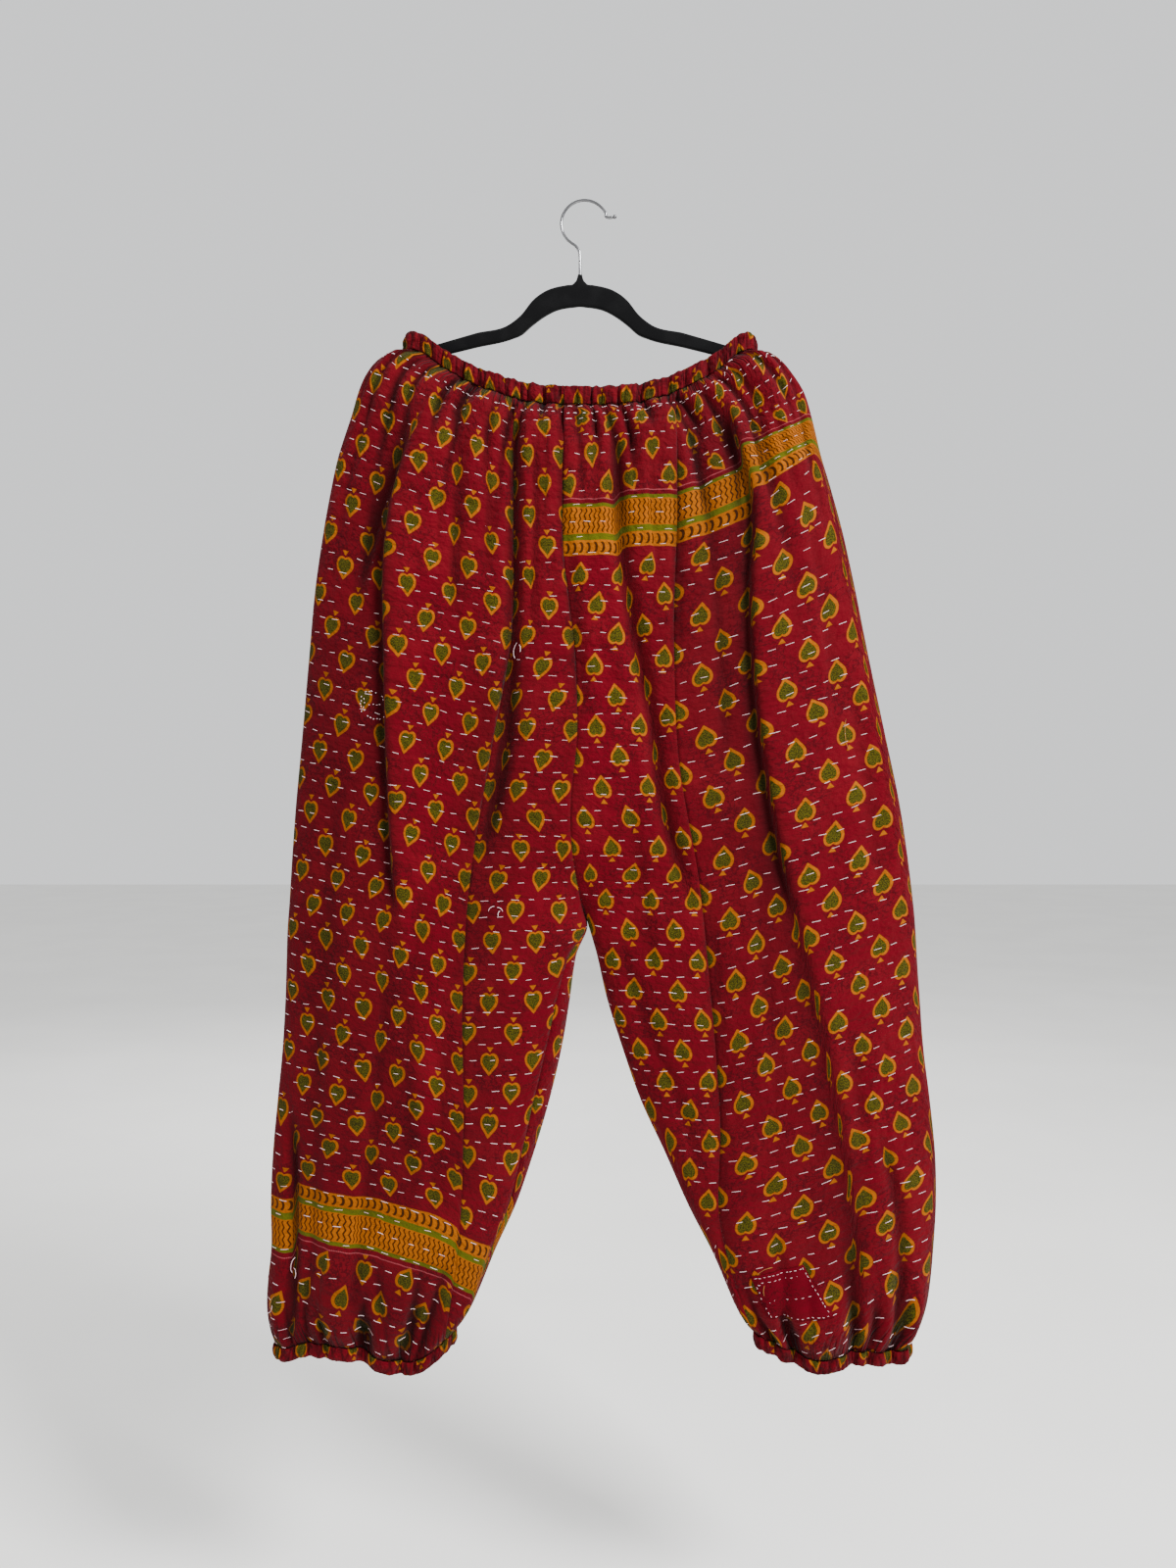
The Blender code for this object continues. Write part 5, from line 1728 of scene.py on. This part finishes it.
def velvet():
    material, n = new_material("black_flock")
    place = n.add("ShaderNodeTexCoord")["Object"]
    brushed = n.step(n.noise(place, 55.0), 0.4, 0.7, 0.7)
    dress(n, ((0.5, 0.0004, n.noise(place, 900.0, 3.0, 0.6)),),
          Base_Color=n.mix(brushed, srgb(3, 3, 4), srgb(9, 9, 10)), Roughness=0.95,
          Specular_IOR_Level=0.1, Sheen_Weight=0.12, Sheen_Roughness=0.4)
    return material


rings = hanger_rings()
hanger = mesh_object("hanger_body_velvet", rings, swept_faces(rings), velvet())
print("hanger faces:", len(hanger.data.polygons))

# %% [markdown]
# The hook is plated wire: a ring that is open on one side, on an S-shaped stem, with a ball at its tip.
# The ring is an arc, worked out from its radius and two angles.

# %% Hook
HOOK_WIRE = 2.8
HOOK_RADIUS = 22.4
HOOK_STEM = ((-4.4, -76.0), (-4.4, -70.1), (-4.4, -62.0), (-4.5, -53.0), (-5.4, -47.0), (-8.6, -42.3),
             (-13.4, -38.8))
HOOK_TIP = ((20.0, -13.6), (22.0, -15.0), (24.5, -15.2), (27.0, -14.7))
RING_FROM, RING_TO, RING_STEPS = 222.0, 24.0, 26    # degrees
HOOK_STEPS, WIRE_SIDES = 170, 20
HOOK_BALL = HOOK_WIRE * 0.72    # radius of the ball


def hook_line():
    """The wire's centre line, rounded off between its points."""
    turns = np.radians(np.linspace(RING_FROM, RING_TO, RING_STEPS))
    ring = np.stack([np.cos(turns), np.sin(turns)], axis=1) * HOOK_RADIUS
    ring[:, 1] += HOOK_WIRE / 2 - HOOK_RADIUS
    line = np.concatenate([HOOK_STEM, ring, HOOK_TIP])
    way = way_along(line)
    fine = np.linspace(0, way[-1], HOOK_STEPS)
    return np.stack([smooth(way, column, fine) for column in line.T], axis=1)


def hook_rings():
    """The wire swept along its line, with a small ball at the tip."""
    line = hook_line()
    ahead = unit(np.gradient(line, axis=0))
    ball = np.linspace(-1.0, 0.98, 9)
    line = np.concatenate([line, line[-1] + ahead[-1] * ((ball + 0.9) * HOOK_BALL)[:, None]])
    ahead = np.concatenate([ahead, np.repeat(ahead[-1:], len(ball), axis=0)])
    radius = np.concatenate([np.full(HOOK_STEPS, HOOK_WIRE / 2),
                             np.maximum(HOOK_BALL * np.sqrt(1 - ball ** 2), 0.05)])
    turn = np.linspace(0, 2 * math.pi, WIRE_SIDES, endpoint=False)
    return np.array([np.stack([x - dz * size * np.cos(turn), size * np.sin(turn),
                               z + dx * size * np.cos(turn)], axis=1)
                     for (x, z), (dx, dz), size in zip(line, ahead, radius)])


def chrome():
    material, n = new_material("bright_chrome")
    place = n.add("ShaderNodeTexCoord")["Object"]
    handled = n.noise(place, 120.0, 3.0)
    drawn = n.noise(n.vector("MULTIPLY", place, (300.0, 300.0, 300.0)))
    dress(n, ((0.08, 0.0002, drawn),), Metallic=1.0,
          Base_Color=n.mix(n.step(handled, 0.4, 0.7, 0.6), srgb(120, 120, 122), srgb(82, 82, 84)),
          Roughness=0.16 + n.step(handled, 0.3, 0.8, 0.16))
    return material


rings = hook_rings()
hook = mesh_object("hanger_hook_wire", rings, swept_faces(rings, flip=True), chrome())
print("hook faces:", len(hook.data.polygons))

# %% [markdown]
# Every piece rides on the one body, and a piece that stands for a solid hides that solid. Stitches ride
# along.


def declare(piece, node=None):
    """A piece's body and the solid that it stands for."""
    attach(piece, BODY)
    if node:
        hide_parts(node)


for cut, (piece, node) in zip(PANEL_CUT.values(), panels.values()):
    declare(piece, node)
for node, (piece, cut) in casings.items():
    declare(piece, node)
declare(patch, "ankle_patch")
for piece in (*stitches, hand_sewn, white_ends, ochre_ends):
    declare(piece)
declare(hanger, "hanger_body")
declare(hook, "hanger_hook")
print("pieces:", len(panels) + len(casings) + len(stitches) + 6)

# %% [markdown]
# ## Floor, light and camera
# A plain pale floor lies well below the hanging object. One large soft light stands high on the right
# in front, a weaker one fills from the left, and the sky around is an even pale grey.

# %% Floor and light
FLOOR_Z, FLOOR_HALF = -1420.0, 9000.0       # mm


def pale_floor():
    material, n = new_material("pale_floor")
    tone = n.noise(n.add("ShaderNodeTexCoord")["Object"], 3.0)
    dress(n, Base_Color=n.mix(n.step(tone, 0.3, 0.7), srgb(232, 231, 228), srgb(228, 227, 224)),
          Roughness=0.9)
    return material


floor = mesh_object("floor", [(x * FLOOR_HALF, y * FLOOR_HALF, FLOOR_Z)
                              for x, y in ((-1, -1), (1, -1), (1, 1), (-1, 1))],
                    [(0, 1, 2, 3)], pale_floor())


def soft_light(name, place, size, power):
    """A large square light that faces the middle of the object."""
    data = bpy.data.lights.new(name, "AREA")
    data.shape, data.size, data.energy = "SQUARE", size, power
    lamp = new_object(name, data)
    way = unit(np.subtract(MIDDLE, place))
    lamp.location = place
    lamp.rotation_euler = (math.acos(-way[2]), 0.0, math.atan2(way[1], way[0]) - math.pi / 2)


MIDDLE = (0.0, 0.0, -0.6)
soft_light("key_light", (1.75, -1.75, 1.35), 0.8, 235.0)
soft_light("fill_light", (-2.2, -1.8, 0.2), 1.8, 16.0)
soft_light("back_light", (-0.6, 2.4, 0.9), 2.0, 60.0)
world = bpy.data.worlds.new("pale_room")
world.use_nodes = True
sky = world.node_tree.nodes["Background"]
sky.inputs["Color"].default_value = (0.86, 0.87, 0.88, 1.0)
sky.inputs["Strength"].default_value = 1.2
bpy.context.scene.world = world
print("lights:", len(bpy.data.lights))

# %% [markdown]
# The camera stands where the photo was taken from, level and straight in front, so that the rendered
# outline can be compared with it.

# %% Camera
CAMERA = (0.003285, -1.130, -0.5575)
FOCAL_SHARE = 1204 / 1600   # focal length as a share of the picture's height
SENSOR = 32.0

camera_data = bpy.data.cameras.new("camera")
camera_data.sensor_fit = "VERTICAL"
camera_data.sensor_height = SENSOR
camera_data.lens = SENSOR * FOCAL_SHARE
camera_data.clip_start = 0.02
camera = new_object("camera", camera_data)
camera.location = CAMERA
camera.rotation_euler = (math.pi / 2, 0.0, 0.0)
bpy.context.scene.camera = camera
print("focal length:", camera_data.lens, "for a sensor", SENSOR, "high")
